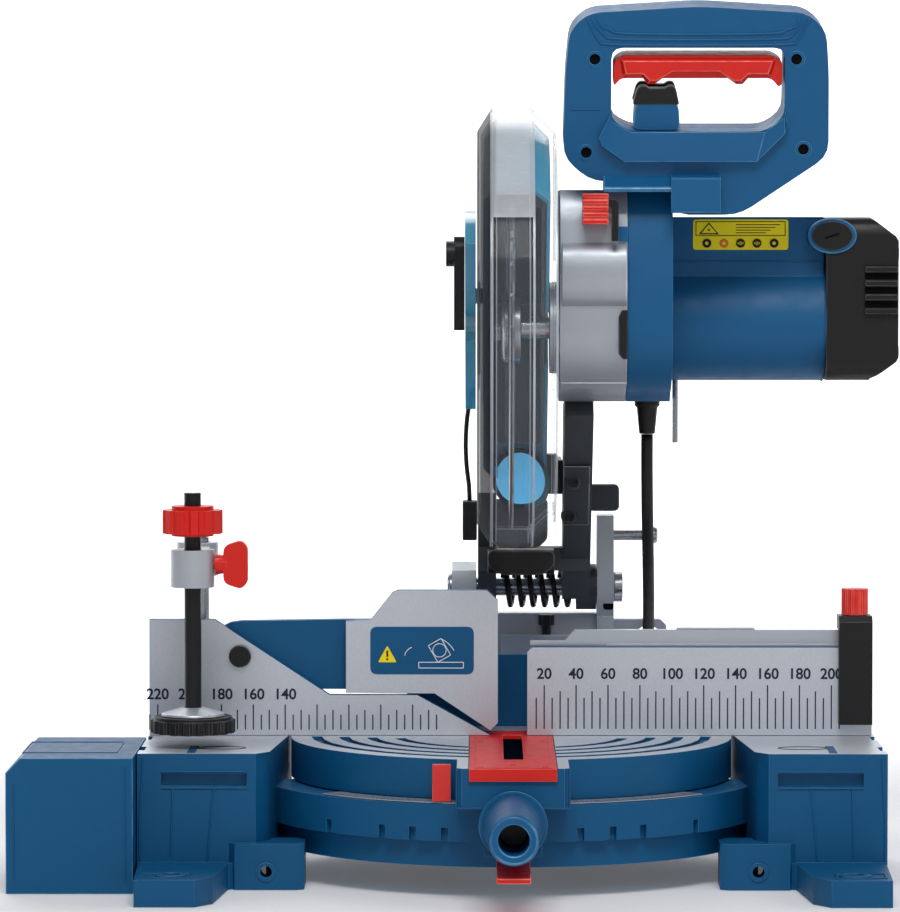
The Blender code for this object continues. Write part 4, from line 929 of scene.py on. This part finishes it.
def tint_guard():
    """Painted shade on the left slope of the swinging guard, where the upper guard's side shows through in
    shade, and a frosted brow.
    """
    guard = bpy.data.objects["lower_guard_skin"]
    shade_slot = len(guard.data.materials)
    guard.data.materials.append(LOOKS["painted_shade_plastic"])
    guard.data.materials.append(LOOKS["frosted_plastic"])
    left, brow = place(GUARD_SLOPE_X, 0, 0).x, place(0, 0, GUARD_BROW_Z).z
    for face in guard.data.polygons:
        # Faces left of GUARD_SLOPE_X take the painted shade; upward faces above GUARD_BROW_Z go frosted.
        if face.center.x < left and abs(face.normal.x) < 0.95:
            face.material_index = shade_slot
        elif face.center.z > brow and abs(face.normal.x) < 0.5:
            face.material_index = shade_slot + 1


def guard_details():
    """Clear ribs on the swinging guard, paler as a painted highlight; painted shade sheets and dark grey
    plates behind the blade; the chute, whose insert glows as painted light; and the laser lead.
    """
    mesh = bmesh.new()
    for low, high in ((-13.4, -11.9), (12.4, 13.9)):
        add_band(mesh, BLADE, 133.6, 138.2, low, high, *GUARD_SWEEP)
    for low, high in ((-21.3, -20.2), (26.4, 27.8)):
        add_band(mesh, BLADE, 118.0, 122.6, low, high, *GUARD_SWEEP)
    add_piece("lower_guard_ribs", mesh, "lower_guard", "clear_rib", 0.2)
    # Painted shade: near-black sheets standing for the shade inside the guard behind the blade.
    shade_sheets = [rounded(rect(-13.6, 352, -3.2, 413), 1), rounded(rect(3.2, 352, 19.2, 413), 1)]
    plates("guard_inner_shade_sheets", "Y", shade_sheets, 60, 62.5, "head", "shadow", 0.4)
    lower = [rect(-13.6, 262, -3.2, 351.6), rect(3.2, 262, 19.2, 351.6)]
    plates("guard_inner_lower", "Y", lower, 78, 80.5, "head", "dark_casting", 0.4)
    mesh = bmesh.new()
    for low, high in ((-17.9, -16.2), (22.2, 23.9)):
        add_band(mesh, BLADE, 100, 104, low, high, -30, 120)
    add_piece("upper_guard_ribs", mesh, "head", "teal_plastic", 0.2)
    bowl = rounded([(-13, 226), (24, 226), (24, 200), (18, 194.5), (-8, 194.5), (-13, 200)], 3)
    plate("chute_bowl", "Y", bowl, 84, 87, "head", "dark_casting", 0.8)
    for name, inner, outer, look in (("chute_insert", 0.0, 15.6, "cyan_plastic"),
                                     ("chute_rim", 15.6, 18.4, "black_plastic")):
        mesh = bmesh.new()
        add_curved_ring(mesh, CHUTE_AT, inner, outer, 128.9, 130.9)
        add_piece(name, mesh, "head", look, 0.2)
    tint_guard()
    box_outline = rounded(rect(-31, 197, -21.6, 222.6), 1.2)
    plate("laser_switch_box", "Y", box_outline, 118, 134, "head", "black_plastic", 0.8)
    route = smooth_route([(-26.4, 126, 222.4), (-26.8, 126, 232), (-28.4, 125, 246), (-28.9, 122, 262),
                          (-27.6, 116, 280), (-24.0, 106, 296)], 4)
    points = [place(*p) for p in route]
    lead = add_tube_piece("laser_lead", points, 0.0015, 12, "head", "cord_rubber")


def rear_details():
    """The depth stop, a pin washer, the nose of the laser, and the bracket, bolts and ear on the head arm."""
    mesh = bmesh.new()
    add_prism(mesh, "Z", circle((24, 146), 5.2, 6), 139.5, 146.5)
    add_lathe(mesh, "Z", (24, 146), [(0, 139.6), (2.8, 139.6), (2.8, 128.5), (0, 128.5)], 20)
    add_piece("depth_stop_bolt", mesh, "bevel_arm", "black_plastic", 0.3)
    washer = [(0, -39.0), (2.6, -39.0), (3.2, -40.0), (8.4, -40.2), (9.2, -39.4), (9.2, -38.0), (0, -38.0)]
    turned_parts("pivot_washer_left", "X", [(150, 164.5)], washer, "bevel_arm", "steel", 0.2)
    nose = rounded([(-14.6, 193.2), (28.3, 193.2), (28.3, 183), (20, 177.4), (-6, 177.4), (-14.6, 183)], 4)
    plate("laser_front_plate", "Y", nose, 75.5, 78.4, "head", "black_plastic", 0.8)
    bracket = [(45.5, 249), (55.0, 240), (72.0, 222), (84.0, 209), (87.5, 209), (75.5, 222), (58.5, 240),
               (49, 249)]
    plate("spine_bracket", "X", bracket, 33.5, 50.5, "head", "dark_casting", 0.8)
    for word, at, y in (("upper", (39.4, 238.2), 53.6), ("lower", (37.4, 215.4), 75.2)):
        dip = [(0, y + 3.4), (2.6, y + 3.4), (3.2, y), (4.6, y), (5.2, y + 0.8), (5.2, y + 9), (0, y + 9)]
        turned_parts("spine_bolt_" + word, "Y", [at], dip, "head", "black_plastic", 0.3)
    plate("spine_ear", "Y", rounded(rect(51, 215.4, 71.4, 233), 4), 130, 137, "head", "dark_casting", 0.9)
    plate("lug_slot", "Y", rounded(rect(61, 150.5, 67.9, 171), 2), 135.1, 136.4, "bevel_arm", "shadow", 0.1)


# ---------------------------------------------------------------- studio

def floor_look():
    """Matt pale paper that glows from a metre behind the saw on, so that the backdrop is white."""
    look = Look("pale_floor")
    base = look.ramp(look.noise(1.5), srgb(232, 232, 233), srgb(238, 238, 239))
    look.link(base, look.shader.inputs["Base Color"])
    look.link(look.spread(look.noise(9.0), 0.75, 0.85), look.shader.inputs["Roughness"])
    preset(look.shader, Specular_IOR_Level=0.2, Emission_Color=(1.0, 1.0, 1.0, 1.0))
    depth = look.node("ShaderNodeSeparateXYZ")
    look.link(look.place.outputs["Object"], depth.inputs["Vector"])
    glow = look.spread(depth.outputs["Y"], 0.1, 1.0, 0.3, 2.0)
    look.link(glow, look.shader.inputs["Emission Strength"])
    look.bump((look.noise(300.0, 2.0), 0.03, 0.0001))
    return look.material


def sweep():
    """A pale floor that curves up into a backdrop, glowing softly away from the saw."""
    mesh = bmesh.new()
    profile = [(-9.0, 0.0), (-2.0, 0.0), (5.0, 0.0)]
    profile += [(5.0 + 1.6 * sin(radians(a)), 1.6 - 1.6 * cos(radians(a))) for a in range(6, 91, 6)]
    profile += [(6.6, 7.0)]
    rows = []
    for x in (-9.0, 9.0):
        rows.append([mesh.verts.new((x, y, z - 0.0003)) for y, z in profile])
    for k in range(len(profile) - 1):
        mesh.faces.new((rows[0][k], rows[1][k], rows[1][k + 1], rows[0][k + 1]))
    floor = linked("floor", bpy.data.meshes.new("floor"))
    mesh.to_mesh(floor.data)
    mesh.free()
    for face in floor.data.polygons:
        face.use_smooth = True
    floor.data.materials.append(floor_look())


# Softboxes: place, target and size in metres, power in watts
LIGHTS = {
    "key": ((0.1, -1.7, 2.2), (0, 0, 0.25), (1.3, 0.9), 38.0),
    "front": ((0.4, -2.8, 1.1), (0, 0, 0.25), (1.6, 0.9), 2.4),
    "right": ((1.8, -0.4, 0.9), (0, 0, 0.25), (0.9, 1.2), 4.0),
    "rear": ((-0.4, 1.3, 1.6), (0, 0, 0.3), (1.2, 0.8), 8.0),
}


def area_light(name, at, target, size, power):
    light = linked(name, bpy.data.lights.new(name, "AREA"))
    light.data.shape = "RECTANGLE"
    light.data.size, light.data.size_y = size
    light.data.energy = power
    light.location = at
    light.rotation_euler = (Vector(target) - Vector(at)).to_track_quat("-Z", "Y").to_euler()


def studio():
    sweep()
    world = bpy.data.worlds.new("studio")
    bpy.context.scene.world = world
    world.use_nodes = True
    preset(world.node_tree.nodes["Background"], Color=(0.96, 0.97, 1.0, 1.0), Strength=0.22)
    for name, settings in LIGHTS.items():
        area_light(name, *settings)
    bpy.context.scene.view_settings.view_transform = "Standard"


add_camera()
mains_cord()
skins()
rulers()
mitre_ticks()
base_details()
extension_details()
flip_fence_details()
clamp_details()
table_details()
handle_details()
trigger_details()
gear_case_details()
motor_details()
guard_details()
rear_details()
studio()
